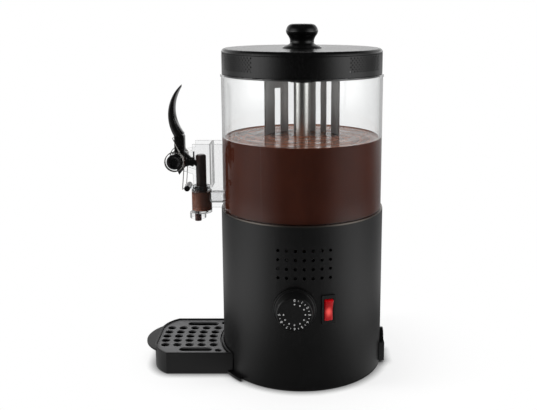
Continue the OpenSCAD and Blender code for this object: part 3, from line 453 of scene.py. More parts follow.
BLACK_COAT = Finish("black_coat", (0.003, 0.003, 0.0031), Grain.COAT, 0.36, relief=0.008 * MM)
LID_PLASTIC = Finish("lid_plastic", (0.0022, 0.0022, 0.0023), Grain.MOULD, 0.26, relief=0.003 * MM)
GLOSS_BLACK = Finish("gloss_black", (0.003, 0.003, 0.003), Grain.MOULD, 0.18, relief=0.004 * MM)
LEVER_BLACK = Finish("lever_black", (0.003, 0.0027, 0.0025), Grain.MOULD, 0.2, relief=0.004 * MM)
DIAL_BLACK = Finish("dial_black", (0.0035, 0.0035, 0.0035), Grain.MOULD, 0.3, relief=0.006 * MM)
TRAY_PLASTIC = Finish("tray_plastic", (0.004, 0.004, 0.0042), Grain.MOULD, 0.32, relief=0.006 * MM)
GRILLE_GREY = Finish("grille_grey", (0.115, 0.115, 0.118), Grain.MOULD, 0.42, relief=0.015 * MM)
BLACK_RUBBER = Finish("black_rubber", (0.012, 0.012, 0.012), Grain.RUBBER, 0.7, specular=0.3,
                      relief=0.03 * MM)
WHITE_PLASTIC = Finish("white_plastic", (0.68, 0.67, 0.63), Grain.MOULD, 0.45, tone=0.05)
SILICONE = Finish("silicone", (0.5, 0.5, 0.49), Grain.RUBBER, 0.55, tone=0.05, relief=0.02 * MM)
PLUNGER_BROWN = Finish("plunger_brown", (0.02, 0.0085, 0.007), Grain.MOULD, 0.3, relief=0.02 * MM, tone=0.5)
NOZZLE_BROWN = Finish("nozzle_brown", (0.03, 0.008, 0.006), Grain.MOULD, 0.3, relief=0.01 * MM, tone=0.4)
MARK_WHITE = Finish("mark_white", (0.5, 0.5, 0.5), Grain.MOULD, 0.5, relief=0.01 * MM, tone=0.2)
STRIP_STEEL = Finish("strip_steel", (0.42, 0.41, 0.4), Grain.BRUSH_UP, 0.38, 1.0, spread=0.16, tone=0.2)
TUBE_STEEL = Finish("tube_steel", (0.78, 0.78, 0.75), Grain.BRUSH_UP, 0.24, 1.0, spread=0.06, tone=0.06)
TURNED_STEEL = Finish("turned_steel", (0.6, 0.59, 0.57), Grain.BRUSH_ROUND, 0.3, 1.0, spread=0.14)
RIM_STEEL = Finish("rim_steel", (0.2, 0.18, 0.16), Grain.BRUSH_ROUND, 0.22, 1.0, spread=0.1)
PIN_STEEL = Finish("pin_steel", (0.62, 0.61, 0.6), Grain.BRUSH_ACROSS, 0.2, 1.0, spread=0.1)
SPRING_STEEL = Finish("spring_steel", (0.75, 0.73, 0.7), Grain.BRUSH_ACROSS, 0.14, 1.0, spread=0.08)
ZINC = Finish("zinc", (0.46, 0.47, 0.49), Grain.CAST, 0.42, 1.0, spread=0.2, tone=0.25)
MOTOR_GREY = Finish("motor_grey", (0.16, 0.16, 0.17), Grain.COAT, 0.45, tone=0.2)
BRONZE = Finish("bronze", (0.48, 0.3, 0.13), Grain.BRUSH_ROUND, 0.32, 1.0, spread=0.14, tone=0.2)
CAST_ALUMINIUM = Finish("cast_aluminium", (0.55, 0.55, 0.56), Grain.CAST, 0.5, 1.0, spread=0.2,
                        relief=0.08 * MM)
WOOL = Finish("wool", (0.45, 0.38, 0.2), Grain.WOOL, 0.95, specular=0.1, relief=0.5 * MM, tone=0.35)
CLEAR_WALL = ClearFinish("clear_wall", (0.955, 0.96, 0.96), Grain.MOULD, 0.0, spread=0.0, tone=0.01,
                         bending=1.42)
CLEAR_GUARD = ClearFinish("clear_guard", (0.97, 0.972, 0.974), Grain.MOULD, 0.0, spread=0.0, tone=0.015)
CLEAR_CAP = ClearFinish("clear_cap", (0.78, 0.8, 0.82), Grain.MOULD, 0.04, spread=0.0, tone=0.02)
THIN_CHOCOLATE = DrinkFinish("thin_chocolate", (0.15, 0.06, 0.038), Grain.MOULD, 0.2, specular=0.1, tone=0.1)
CHOCOLATE = DrinkFinish("chocolate", (0.052, 0.0125, 0.006), Grain.MOULD, 0.2, specular=0.1, tone=0.1)
# The rocker's glow is painted: emission standing in for its bright spot and highlights
RED_GLOW_PAINT = LampFinish("red_glow_paint", (0.35, 0.002, 0.004), Grain.MOULD, 0.2, relief=0.01 * MM, coat=0.3,
                      centre=(0.1085, 0.0342, 0.1085))

# The CAD nodes that keep their own mesh, or are eased, by their finish
NODE_FINISH: dict[Finish, str] = {
    BLACK_COAT: "casing tray_bracket",
    BLACK_RUBBER: "foot_ring cap_o_ring tank_seal lid_seal",
    ZINC: "base_plate motor_bracket posts post_screws knob_screw link_pin",
    MOTOR_GREY: "motor gearbox thermostat",
    TURNED_STEEL: "deck tank_floor output_stub drive_shaft heating_element",
    RIM_STEEL: "trim_ring",
    TUBE_STEEL: "centre_tube",
    STRIP_STEEL: "stirrer_cage stirrer_spider stirrer_scraper",
    PIN_STEEL: "lever_axle dial_spindle inlet_pins",
    BRONZE: "deck_bush shaft_coupling thermostat_bulb",
    CAST_ALUMINIUM: "heater_plate",
    WOOL: "insulation",
    WHITE_PLASTIC: "thermal_cutout terminal_block tube_bush",
    SILICONE: "plunger_seal",
    GLOSS_BLACK: "switch_housing inlet_housing spring_anchor stirrer_hub",
    DIAL_BLACK: "dial_seat",
    LID_PLASTIC: "lid_wall lid_cap",
    CLEAR_WALL: "tank_wall",
    CLEAR_GUARD: "tap_guard tap_barrel spout_skirt",
    CLEAR_CAP: "barrel_cap",
    GRILLE_GREY: "drip_grille",
    PLUNGER_BROWN: "plunger",
    NOZZLE_BROWN: "spout_nozzle",
    TRAY_PLASTIC: "drip_tray",
}

# The CAD nodes whose sharp edges are rounded: node, finish, body and width of the rounding
EASED: tuple[tuple[str, Finish, str, float], ...] = (
    ("drip_tray", TRAY_PLASTIC, "tray", 0.7 * MM),
    ("switch_housing", GLOSS_BLACK, "base", 0.4 * MM),
    ("inlet_housing", GLOSS_BLACK, "base", 0.5 * MM),
    ("lid_cap", LID_PLASTIC, "lid", 0.4 * MM),
)


# ---- surfaces ----


def unit(vectors: np.ndarray) -> np.ndarray:
    """Each vector divided by its length."""
    return vectors / np.linalg.norm(vectors, axis=-1, keepdims=True)


def smooth_curve(points: Outline, steps: int) -> np.ndarray:
    """Cubics through the points, whose slope at a point is half the way between its neighbours.

    Args:
        points: the points on the curve.
        steps: the parts that each span is cut into.

    Returns:
        The points of the curve, the ends included.
    """
    knots = np.asarray(points, float)
    ends = np.vstack([2 * knots[0] - knots[1], knots, 2 * knots[-1] - knots[-2]])
    a, b, c, d = (ends[i:len(knots) - 1 + i, None, :] for i in range(4))
    t = np.linspace(0, 1, steps, endpoint=False)[None, :, None]
    curve = 0.5 * (2 * b + (c - a) * t + (2 * a - 5 * b + 4 * c - d) * t**2 + (3 * b - a - 3 * c + d) * t**3)
    return np.vstack([curve.reshape(-1, knots.shape[1]), knots[-1:]])


def arc_through(a: Pair, b: Pair, c: Pair, steps: int) -> np.ndarray:
    """Points on the circle arc from a through b to c. Its centre is as far from a as from b and from c.

    Args:
        a: where the arc starts.
        b: a point on it.
        c: where it ends.
        steps: the number of points.

    Returns:
        The points, both ends included.
    """
    a, b, c = (np.array(p, float) for p in (a, b, c))
    centre = np.linalg.solve(2 * np.array([b - a, c - a]), [b @ b - a @ a, c @ c - a @ a])
    start, middle, end = (math.atan2(*(p - centre)[::-1]) for p in (a, b, c))
    sweep, part = (end - start) % TURN, (middle - start) % TURN
    angles = start + np.linspace(0, sweep if part < sweep else sweep - TURN, steps)
    return centre + np.linalg.norm(a - centre) * np.stack([np.cos(angles), np.sin(angles)], -1)


def round_angles(steps: int) -> np.ndarray:
    """The angles of one turn, without the last, which is the first again."""
    return np.linspace(0, TURN, steps, endpoint=False)


def grid_faces(rows: int, columns: int, loop: bool = False) -> np.ndarray:
    """Four-cornered faces between neighbouring rows of a grid that closes round its columns.

    Args:
        rows: the number of rows.
        columns: the number of points in a row.
        loop: whether the last row joins the first.

    Returns:
        One row of four point numbers for each face.
    """
    i = np.arange(rows if loop else rows - 1)[:, None]
    j = np.arange(columns)[None, :]
    lower, upper, turn = i * columns, (i + 1) % rows * columns, (j + 1) % columns
    return np.stack([lower + j, lower + turn, upper + turn, upper + j], -1).reshape(-1, 4)


def add_object(name: str, data: bpy.types.ID) -> bpy.types.Object:
    """A new object at the origin.

    Args:
        name: its name.
        data: its mesh, text, camera or light.

    Returns:
        The object.
    """
    made = bpy.data.objects.new(name, data)
    bpy.context.scene.collection.objects.link(made)
    return made


def shade(mesh: bpy.types.Mesh, sharp: float = SHARP) -> None:
    """Smooths the faces of a mesh, apart from its edges over an angle in degrees."""
    mesh.polygons.foreach_set("use_smooth", np.ones(len(mesh.polygons), bool))
    mesh.set_sharp_from_angle(angle=math.radians(sharp))


def read_points(mesh: bpy.types.Mesh) -> np.ndarray:
    """Reads the points of a mesh.

    Args:
        mesh: any mesh.

    Returns:
        One row of x, y and z for each point.
    """
    points = np.zeros(len(mesh.vertices) * 3)
    mesh.vertices.foreach_get("co", points)
    return points.reshape(-1, 3)


def make_piece(name: str, points: np.ndarray, faces: list, sharp: float = SHARP) -> bpy.types.Object:
    """A closed mesh at the origin, its doubles merged and its faces turned outwards.

    Args:
        name: the piece's name.
        points: its points, in the CAD frame.
        faces: the point numbers of its faces.
        sharp: the angle in degrees over which an edge isn't smoothed.

    Returns:
        The new object.
    """
    mesh = bpy.data.meshes.new(name)
    mesh.from_pydata(points.reshape(-1, 3).tolist(), [], faces)
    work = bmesh.new()
    work.from_mesh(mesh)
    bmesh.ops.remove_doubles(work, verts=work.verts, dist=1e-6)
    bmesh.ops.recalc_face_normals(work, faces=work.faces)
    work.to_mesh(mesh)
    work.free()
    shade(mesh, sharp)
    return add_object(name, mesh)


def skin(name: str, sections: np.ndarray, loop: bool = False, sharp: float = SHARP) -> bpy.types.Object:
    """Joins closed sections one after another, and caps the ends unless they loop.

    Args:
        name: the piece's name.
        sections: rows of points, each a closed section.
        loop: whether the last section joins the first.
        sharp: the angle in degrees over which an edge isn't smoothed.

    Returns:
        The new object.
    """
    rows, columns = sections.shape[:2]
    faces = grid_faces(rows, columns, loop).tolist()
    if not loop:
        faces += [list(range(columns)), list(range((rows - 1) * columns, rows * columns))]
    return make_piece(name, sections, faces, sharp)


@dataclass(frozen=True)
class Place:
    """A local frame: a centre, the direction of its axis, and where its angle 0 points."""

    centre: Point = (0.0, 0.0, 0.0)
    axis: Point = (0.0, 0.0, 1.0)
    start: Point = (1.0, 0.0, 0.0)

    def turned(self, radius: np.ndarray, angle: np.ndarray, height: np.ndarray) -> np.ndarray:
        """Points round the axis: the centre, plus the radius along the angle's direction, plus the height.

        Args:
            radius: how far each point is from the axis.
            angle: its angle round the axis.
            height: its place along the axis.

        Returns:
            The points.
        """
        axis, start = np.array(self.axis, float), np.array(self.start, float)
        side = np.cross(axis, start)
        return (np.array(self.centre) + (radius * np.cos(angle))[..., None] * start
                + (radius * np.sin(angle))[..., None] * side + height[..., None] * axis)


def lathe(name: str, profile: np.ndarray, place: Place, segments: int, loop: bool = False) -> bpy.types.Object:
    """A profile of radius and height, carried round an axis.

    Args:
        name: the piece's name.
        profile: radius and height of each row.
        place: the axis.
        segments: the steps of one turn.
        loop: whether the profile closes on itself, as a ring's does.

    Returns:
        The new object.
    """
    radius, height = (np.repeat(profile[:, i:i + 1], segments, 1) for i in range(2))
    return skin(name, place.turned(radius, round_angles(segments) + 0 * radius, height), loop)


def wire(name: str, path: np.ndarray, radius: float, sides: int) -> bpy.types.Object:
    """A round wire: circles square to the path, each turned as little as possible from the last.

    Args:
        name: the piece's name.
        path: the points of its middle line.
        radius: half its thickness.
        sides: the points of a circle.

    Returns:
        The new object.
    """
    along = unit(np.gradient(path, axis=0))
    side = np.empty_like(path)
    side[0] = unit(np.cross(along[0], (0.3, 0.5, 0.8)))
    for i in range(1, len(path)):
        side[i] = unit(side[i - 1] - along[i] * (side[i - 1] @ along[i]))
    angle = round_angles(sides)[None, :, None]
    out = np.cos(angle) * side[:, None] + np.sin(angle) * np.cross(along, side)[:, None]
    return skin(name, path[:, None] + radius * out)


def loft(name: str, centre: np.ndarray, across: np.ndarray, half: np.ndarray, power: float,
         sides: int) -> bpy.types.Object:
    """A bar in the plane X = 0 whose sections are rounded rectangles, |x/a|^p + |d/b|^p = 1.

    Args:
        name: the piece's name.
        centre: the middle of each section.
        across: the direction of the section's depth.
        half: half the width along X and half the depth.
        power: p, 2 for an ellipse and more for a squarer section.
        sides: the points of a section.

    Returns:
        The new object.
    """
    angle = round_angles(sides)
    x, d = (np.sign(f) * np.abs(f) ** (2 / power) for f in (np.cos(angle), np.sin(angle)))
    sections = centre[:, None] + (half[:, 1:2] * d)[..., None] * across[:, None]
    sections[..., 0] += half[:, 0:1] * x
    return skin(name, sections, sharp=50.0)


def soften(piece: bpy.types.Object, width: float) -> None:
    """Rounds the sharp edges of a piece.

    Args:
        piece: a piece with merged points.
        width: how wide the rounding is.
    """
    bevel = piece.modifiers.new("ease", "BEVEL")
    bevel.width, bevel.segments, bevel.limit_method = width, 3, "ANGLE"
    bevel.angle_limit = math.radians(32)
    bevel.harden_normals = False
    piece.modifiers.new("shade", "WEIGHTED_NORMAL").keep_sharp = True


def slab(name: str, outline: np.ndarray, half: float, ease: float) -> bpy.types.Object:
    """An outline of y and z, thick along X, with its edges rounded.

    Args:
        name: the piece's name.
        outline: its corners.
        half: half its thickness.
        ease: how wide the rounding is.

    Returns:
        The new object.
    """
    ends = [np.column_stack([np.full(len(outline), x), outline]) for x in (-half, half)]
    piece = skin(name, np.stack(ends), sharp=30.0)
    soften(piece, ease)
    return piece


def joined(name: str, parts: list[bpy.types.Object]) -> bpy.types.Object:
    """One piece from several, with their modifiers applied.

    Args:
        name: the piece's name.
        parts: the pieces, which are removed.

    Returns:
        The new object.
    """
    graph = bpy.context.evaluated_depsgraph_get()
    work = bmesh.new()
    for part in parts:
        work.from_mesh(bpy.data.meshes.new_from_object(part.evaluated_get(graph)))
    mesh = bpy.data.meshes.new(name)
    work.to_mesh(mesh)
    work.free()
    shade(mesh)
    for part in parts:
        bpy.data.objects.remove(part)
    return add_object(name, mesh)


def finish_piece(piece: bpy.types.Object, finish: Finish, body: str, slot: str, *nodes: str) -> None:
    """Dresses a piece, lets it ride on its body and hides the CAD nodes that it stands for.

    Args:
        piece: the new piece.
        finish: its finish.
        body: the CAD body that carries it.
        slot: a material slot's name, which is not used.
        nodes: the CAD nodes that it replaces.
    """
    finish.dress(piece)
    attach(piece, body)
    if nodes:
        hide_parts(*nodes)
    log.info("%s: %d points, rides on %s", piece.name, len(piece.data.vertices), body)


def ease_node(source: bpy.types.Object, finish: Finish, body: str, width: float) -> None:
    """Stands in for a CAD node with the same shape: its triangles joined into flats, and its edges rounded.

    Args:
        source: the CAD node, whose place is in its mesh.
        finish: its finish.
        body: the CAD body that carries it.
        width: how wide the rounding is.
    """
    faces = [list(face.vertices) for face in source.data.polygons]
    piece = make_piece(f"{source.name}_eased", read_points(source.data), faces, 30.0)
    work = bmesh.new()
    work.from_mesh(piece.data)
    bmesh.ops.dissolve_limit(work, angle_limit=math.radians(0.5), verts=work.verts, edges=work.edges)
    work.to_mesh(piece.data)
    work.free()
    soften(piece, width)
    finish_piece(piece, finish, body, "black_plastic", source.name)


# ---- sub-assemblies ----


@dataclass
class Lid:
    """The knob of the lid."""

    foot: float = 434.6 * MM
    knob: Outline = (
        (26.0, 0.0), (26.0, 0.9), (22.6, 2.9), (18.6, 4.6), (16.3, 6.0), (15.9, 8.6), (16.3, 11.6),
        (17.9, 15.0), (20.3, 18.6), (21.2, 22.0), (20.6, 25.4), (18.6, 28.7), (15.4, 30.9), (10.0, 31.7),
        (0.0, 31.8))

    def build(self) -> None:
        """Turns the knob from a smooth profile."""
        profile = smooth_curve(self.knob, 6) * MM
        profile[:, 0] = np.clip(profile[:, 0], 0, None)
        knob = lathe("knob", np.vstack([[[0, 0]], profile]), Place((0, 0, self.foot)), 120)
        finish_piece(knob, GLOSS_BLACK, "lid", "black_plastic", "lid_knob")


@dataclass
class Drink:
    """The chocolate in the tank and in the tap's barrel.

    A wave is its height, how many crests go round, how fast it turns with the radius, and its start.
    """

    level: float = 316.8 * MM
    floor: float = 224.8 * MM
    seam: float = 221.8 * MM
    tube: float = 11.3 * MM
    wall: float = 104.2 * MM
    skin: float = 0.15 * MM
    rows: int = 76
    segments: int = 240
    wall_climb: float = 1.3 * MM
    tube_climb: float = 1.0 * MM
    climb_fade: float = 1.5 * MM
    waves: tuple = ((0.1 * MM, 3, -190, 0.6), (0.06 * MM, 7, 260, 0.0), (0.03 * MM, 13, -420, 2.0))
    wall_calm: float = 9 * MM
    tube_calm: float = 5 * MM
    barrel_y: float = -137.4 * MM
    barrel: Outline = ((11.4, 214.4), (11.4, 240.4), (10.7, 239.6), (7.4, 239.5), (7.15, 239.9), (7.15, 214.4))

    def surface(self, radius: np.ndarray, angle: np.ndarray) -> np.ndarray:
        """Height of the surface.

        It climbs the wall and the tube by exp(-distance / fade) and carries slow spiral waves, the sines
        of angle and radius, which grow calm near both.

        Args:
            radius: how far each point is from the tank's axis.
            angle: its angle round the axis.

        Returns:
            The heights.
        """
        climb = (self.wall_climb * np.exp((radius - self.wall) / self.climb_fade)
                 + self.tube_climb * np.exp((self.tube - radius) / self.climb_fade))
        wave = sum(high * np.sin(crests * angle + slope * radius + start)
                   for high, crests, slope, start in self.waves)
        calm = (np.clip((self.wall - radius) / self.wall_calm, 0, 1)
                * np.clip((radius - self.tube) / self.tube_calm, 0, 1))
        return self.level + climb + wave * calm

    def build(self) -> None:
        """Closes the surface with its sides. The wall's wetted skin reaches down to the seal."""
        spread = np.sin(np.linspace(-np.pi / 2, np.pi / 2, self.rows)) / 2 + 0.5
        radius = (self.tube + (self.wall - self.tube) * spread)[:, None]
        around = round_angles(self.segments)
        angle = around + 0 * radius
        dry = self.wall - self.skin
        below = ((self.wall, self.seam), (dry, self.seam), (dry, self.floor), (self.tube, self.floor))
        rings = [Place().turned(radius, angle, self.surface(radius, angle))]
        rings += [Place().turned(0 * around + r, around, 0 * around + z)[None] for r, z in below]
        tank = skin("drink_in_tank", np.concatenate(rings), loop=True, sharp=60.0)
        finish_piece(tank, CHOCOLATE, "tank", "brown_plastic")
        barrel = lathe("drink_in_barrel", np.array(self.barrel) * MM, Place((0, self.barrel_y, 0)), 72, True)
        finish_piece(barrel, THIN_CHOCOLATE, "tank", "brown_plastic")


@dataclass
class Dial:
    """The thermostat's dial and its white marks."""

    y: float = -9.3 * MM
    z: float = 113.3 * MM
    back: float = 111.4 * MM
    grip: Outline = (
        (26.9, 0), (27.5, 0.5), (27.5, 2.2), (27.0, 3.0), (25.4, 3.4), (24.4, 4.4), (23.9, 8.0),
        (23.3, 14.0), (22.8, 17.4), (22.2, 18.6), (21.2, 19.0), (20.6, 18.85))
    face: Outline = ((12.0, 18.8), (0, 18.8))
    dot_radius: float = 13.5 * MM
    dot: Pair = (0.95 * MM, 0.95 * MM)
    number_radius: float = 18.6 * MM
    tick: Pair = (0.95 * MM, 0.42 * MM)
    numbers_shown: int = 10
    number_turn: int = 30
    number_size: float = 4.6 * MM
    mark_points: int = 12

    def spot(self, turn: float, outward: np.ndarray, sideways: np.ndarray,
             high: np.ndarray | float) -> np.ndarray:
        """Points of the face, at a clockwise turn from its top.

        Args:
            turn: the turn in degrees.
            outward: how far each point lies from the dial's middle.
            sideways: how far it lies to the right of the turn's line.
            high: how far it stands out from the dial's back.

        Returns:
            The points.
        """
        s, c = math.sin(math.radians(turn)), math.cos(math.radians(turn))
        y = self.y + outward * s + sideways * c
        z = self.z + outward * c - sideways * s
        return np.stack([self.back + high + 0 * y, y, z], -1)

    def marks(self) -> bpy.types.Object:
        """Small raised ovals: a dot at each number, and a tick between two numbers.

        Returns:
            All of them as one piece.
        """
        dots = [(self.number_turn * i, self.dot_radius, self.dot) for i in range(self.numbers_shown)]
        ticks = [(self.number_turn * (i + 0.5), self.number_radius, self.tick)
                 for i in range(self.numbers_shown - 1)]
        angle, count = round_angles(self.mark_points), 2 * self.mark_points
        ends = np.arange(count).reshape(2, -1)
        one = grid_faces(2, self.mark_points).tolist() + ends.tolist()
        points, faces = [], []
        for i, (turn, radius, (tall, wide)) in enumerate(sorted(dots + ticks)):
            outward, sideways = radius + tall * np.cos(angle), wide * np.sin(angle)
            points += [self.spot(turn, outward, sideways, high * MM) for high in (18.7, 18.98)]
            faces += [[number + count * i for number in face] for face in one]
        return make_piece("dial_dots", np.vstack(points), faces)

    def numbers(self) -> list[bpy.types.Object]:
        """The plain numbers, each with its foot towards the dial's middle.

        Returns:
            One piece for each number.
        """
        made = []
        for i in range(self.numbers_shown):
            curve = bpy.data.curves.new(f"number_{i}", "FONT")
            curve.body, curve.align_x, curve.align_y = str(i), "CENTER", "CENTER"
            curve.size, curve.extrude, curve.offset = self.number_size, 0.12 * MM, 0.09 * MM
            text = add_object(f"number_{i}", curve)
            mesh = bpy.data.meshes.new_from_object(text.evaluated_get(bpy.context.evaluated_depsgraph_get()))
            bpy.data.objects.remove(text)
            flat = read_points(mesh)
            outward, high = self.number_radius + flat[:, 1], 18.86 * MM + flat[:, 2]
            place = self.spot(self.number_turn * i, outward, flat[:, 0], high)
            mesh.vertices.foreach_set("co", place.ravel())
            made.append(add_object(f"number_{i}", mesh))
        return made

    def build(self) -> None:
        """Turns the dial and sets dots, ticks and numbers on its face."""
        profile = np.vstack([[(0, 0)], smooth_curve(self.grip, 4), self.face]) * MM
        dial = lathe("dial", profile, Place((self.back, self.y, self.z), (1, 0, 0), (0, 1, 0)), 192)
        finish_piece(dial, DIAL_BLACK, "dial", "black_plastic", "thermostat_dial")
        marks = joined("dial_marks", [self.marks(), *self.numbers()])
        finish_piece(marks, MARK_WHITE, "dial", "white_plastic")


@dataclass
class Rocker:
    """The red rocker of the power switch. Its places from -1 to 1 run from its foot to its top."""

    angle: float = math.radians(17.5)
    z: float = 110.9 * MM
    radius: float = 109.5 * MM
    half_width: float = 5.5 * MM
    half_height: float = 13.79 * MM
    tilt: float = math.radians(7)
    back: float = 5 * MM
    middle: float = 3.5
    end_rise: float = 3.0
    end_fall: float = 1.6
    end_from: float = 0.93
    rib: float = 0.34
    rib_start: float = 0.34
    rib_speed: float = 42.0
    ribs_middle: float = 0.58
    ribs_half: float = 0.26

    def face(self, t: np.ndarray) -> np.ndarray:
        """How far the face stands out: a middle height plus a rise by |t|^1.25, less round ends, plus ribs.

        Args:
            t: places from -1 to 1.

        Returns:
            The heights.
        """
        ribs = np.clip(np.sin((t - self.rib_start) * self.rib_speed), 0, 1)
        ribs = self.rib * ribs * (np.abs(t - self.ribs_middle) < self.ribs_half)
        ends = np.clip((np.abs(t) - self.end_from) / (1 - self.end_from), 0, 1) ** 2
        return (self.middle + self.end_rise * np.abs(t) ** 1.25 - self.end_fall * ends + ribs) * MM

    def build(self) -> None:
        """Joins sections across the rocker, squares with rounded corners whose front side is the face."""
        t, a = np.linspace(-1, 1, 120), round_angles(40)
        x, d = (np.sign(f) * np.abs(f) ** 0.3 for f in (np.cos(a), np.sin(a)))
        deep = np.abs(d)[None]
        out = np.where(d[None] > 0, self.face(t)[:, None] * deep, -self.back * deep)
        up = self.half_height * t[:, None] + 0 * out
        side = self.half_width * x[None] + 0 * out
        c, s = math.cos(self.tilt), math.sin(self.tilt)
        out, up = out * c + up * s, up * c - out * s
        radial = np.array([math.cos(self.angle), math.sin(self.angle), 0])
        across = np.array([-math.sin(self.angle), math.cos(self.angle), 0])
        points = ((self.radius + out)[..., None] * radial + side[..., None] * across
                  + (self.z + up)[..., None] * np.array([0, 0, 1]))
        # The red glow on the face is painted light, in place of the rocker's highlights
        finish_piece(skin("rocker", points, sharp=60.0), RED_GLOW_PAINT, "rocker", "red_plastic", "power_rocker")


PIVOT: Pair = (-170 * MM, 285.2 * MM)


@dataclass
class Lever:
    """The tap's lever: blade, shank, hub and arm.

    Arm and neck are measured from the pivot. Widths are heights and half the blade's width there.
    """

    pivot: Pair = PIVOT
    outer: Outline = ((-172.4, 316.2), (-178.9, 352.2), (-161.0, 386.3))
    inner: Outline = ((-158.6, 320.2), (-170.4, 354.2), (-161.0, 383.3))
    blade_rows: int = 56
    widths: Outline = ((316, 8.0), (330, 9.3), (372.8, 13.5))
    tip: float = 12.3
    thinnest: float = 0.8 * MM
    shank: Pair = (-172.4 * MM, -158.6 * MM)
    shank_half: float = 8 * MM
    shank_top: float = 318.2 * MM
    half: float = 4 * MM
    arm: Outline = ((6, 12), (11.4, 10.1), (19.2, 2.5), (24.2, 1.6), (24.2, -5.0), (22.3, -10.2), (18, -8.6),
                    (12.1, -10), (3, -21.7), (-3, -7.5))
    neck: Outline = ((14, -8), (27, -8), (27, -2), (14, -2))
    hub: Outline = ((0, -13.8), (7.9, -13.8), (8.5, -13.2), (8.5, 13.2), (7.9, 13.8), (0, 13.8))
    nose: Outline = ((0, -4), (3.9, -4), (4.3, -3.6), (4.3, 3.6), (3.9, 4), (0, 4))
    nose_at: Pair = (-143 * MM, 280.2 * MM)
    cap: Outline = ((0, 7.6), (5.2, 7.6), (6.2, 8.2), (7.6, 9.3), (9.2, 9.0), (10.1, 7.8),
                    (10.1, 5.0), (10.1, 0.4), (9.7, 0.0))
    cap_bore: Outline = ((4.05, 0.0), (4.05, 6.0), (0, 6.0))
    cap_x: float = 17.65 * MM

    def blade(self) -> bpy.types.Object:
        """Sections between two arcs; the blade widens upwards and ends in a round tip.

        Returns:
            The blade.
        """
        front, back = (arc_through(*arc, self.blade_rows) * MM for arc in (self.outer, self.inner))
        flat = np.zeros(self.blade_rows)
        centre = np.column_stack([flat, (front + back) / 2])
        across = np.column_stack([flat, unit(front - back)])
        depth = np.linalg.norm(front - back, axis=1) / 2
        up = centre[:, 2] / MM
        width = np.interp(up, *zip(*self.widths))
        past = np.clip(up - self.widths[-1][0], 0, None) / self.tip
        width *= np.sqrt(np.clip(1 - past**2, 0.01, 1))
        half = np.column_stack([width * MM, np.maximum(depth, self.thinnest)])
        return loft("blade", centre, across, half, 3.2, 48)

    def post(self) -> bpy.types.Object:
        """The straight shank, squarer than the blade and rounded at its top.

        Returns:
            The shank.
        """
        low, high = self.pivot[1] - self.half, self.shank_top
        z = np.concatenate([[low], np.linspace(low + 1 * MM, high - 1.2 * MM, 10), [high - 0.5 * MM, high]])
        centre = np.column_stack([0 * z, 0 * z + sum(self.shank) / 2, z])
        across = np.tile((0.0, 1.0, 0.0), (len(z), 1))
        inset = np.interp(z, (high - 1.2 * MM, high - 0.5 * MM, high), (0, 0.35 * MM, 1.3 * MM))
        deep = (self.shank[1] - self.shank[0]) / 2
        return loft("post", centre, across, np.column_stack([self.shank_half - inset, deep - inset]), 7.0, 64)

    def build(self) -> None:
        """Joins the lever's parts, then makes the two caps of its axle."""
        arm, neck = (np.array(outline) * MM + self.pivot for outline in (self.arm, self.neck))
        hub, nose = (Place((0, *at), (1, 0, 0), (0, 1, 0)) for at in (self.pivot, self.nose_at))
        parts = [self.blade(), self.post(), slab("arm", arm, self.half, 0.7 * MM),
                 slab("neck", neck, self.half, 0.4 * MM), lathe("hub", np.array(self.hub) * MM, hub, 72),
                 lathe("nose", np.array(self.nose) * MM, nose, 48)]
        finish_piece(joined("lever", parts), LEVER_BLACK, "lever", "black_plastic", "tap_lever")
        cap = np.vstack([smooth_curve(self.cap, 5), self.cap_bore]) * MM
        cap[:, 0] = np.clip(cap[:, 0], 0, None)
        caps = [lathe(f"cap_{side}", cap, Place((side * self.cap_x, *self.pivot), (side, 0, 0), (0, 1, 0)), 96)
                for side in (-1, 1)]
        finish_piece(joined("lever_caps", caps), GLOSS_BLACK, "lever", "black_plastic", "axle_caps")


@dataclass
class Spring:
    """The tap's double torsion spring: a coil at each end of the hub, a loop over the lever and two legs."""

    pivot: Pair = PIVOT
    radius: float = 12.7 * MM
    wire_radius: float = 0.6 * MM
    wire_sides: int = 14
    pitch: float = 2.4 * MM
    turns: int = 3
    first_x: float = 18.85 * MM
    low_end: Pair = (-160.8 * MM, 246.5 * MM)
    high_end: Pair = (-173.6 * MM, 315.0 * MM)
    loop_x: float = 10.1 * MM
    foot_length: float = 9 * MM
    corner: float = 2.5 * MM

    def touch(self, end: Pair, side: int) -> float:
        """Where a leg touches its coil: the angle of its end, plus or minus acos(radius / distance)."""
        away = np.array(end) - np.array(self.pivot)
        return math.atan2(away[1], away[0]) + side * math.acos(self.radius / np.linalg.norm(away))

    def bend(self, a: np.ndarray, b: np.ndarray, c: np.ndarray) -> np.ndarray:
        """A rounded corner: the quadratic curve between two points near it.

        Args:
            a: where the wire comes from.
            b: the corner.
            c: where the wire goes.

        Returns:
            The points of the corner.
        """
        p, q = b + self.corner * unit(a - b), b + self.corner * unit(c - b)
        t = np.linspace(0, 1, 9)[:, None]
        return (1 - t) ** 2 * p + 2 * t * (1 - t) * b + t**2 * q

    def build(self) -> None:
        """Carries a wire along one half and its mirror image, and puts it in place of the CAD spring, fixed in
        the frame.
        """
        start, stop = self.touch(self.low_end, 1), self.touch(self.high_end, -1) + self.turns * TURN
        turn = np.linspace(start, stop, 150)
        x = self.first_x + self.pitch * (turn - start) / TURN
        y, z = self.pivot
        coil = np.column_stack([x, y + self.radius * np.cos(turn), z + self.radius * np.sin(turn)])
        foot, head = np.array([self.first_x, *self.low_end]), np.array([self.loop_x, *self.high_end])
        half = np.vstack([[foot - (self.foot_length, 0, 0)], self.bend(foot * (0, 1, 1), foot, coil[0]), coil,
                          self.bend(coil[-1], head, head * (0, 1, 1))])
        path = np.vstack([half, (half * (-1, 1, 1))[::-1]])
        spring = wire("spring", path, self.wire_radius, self.wire_sides)
        SPRING_STEEL.dress(spring)
        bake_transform(spring)
        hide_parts("tap_spring")
        log.info("%s: %d points, hangs between tank and lever", spring.name, len(spring.data.vertices))


# ---- studio ----


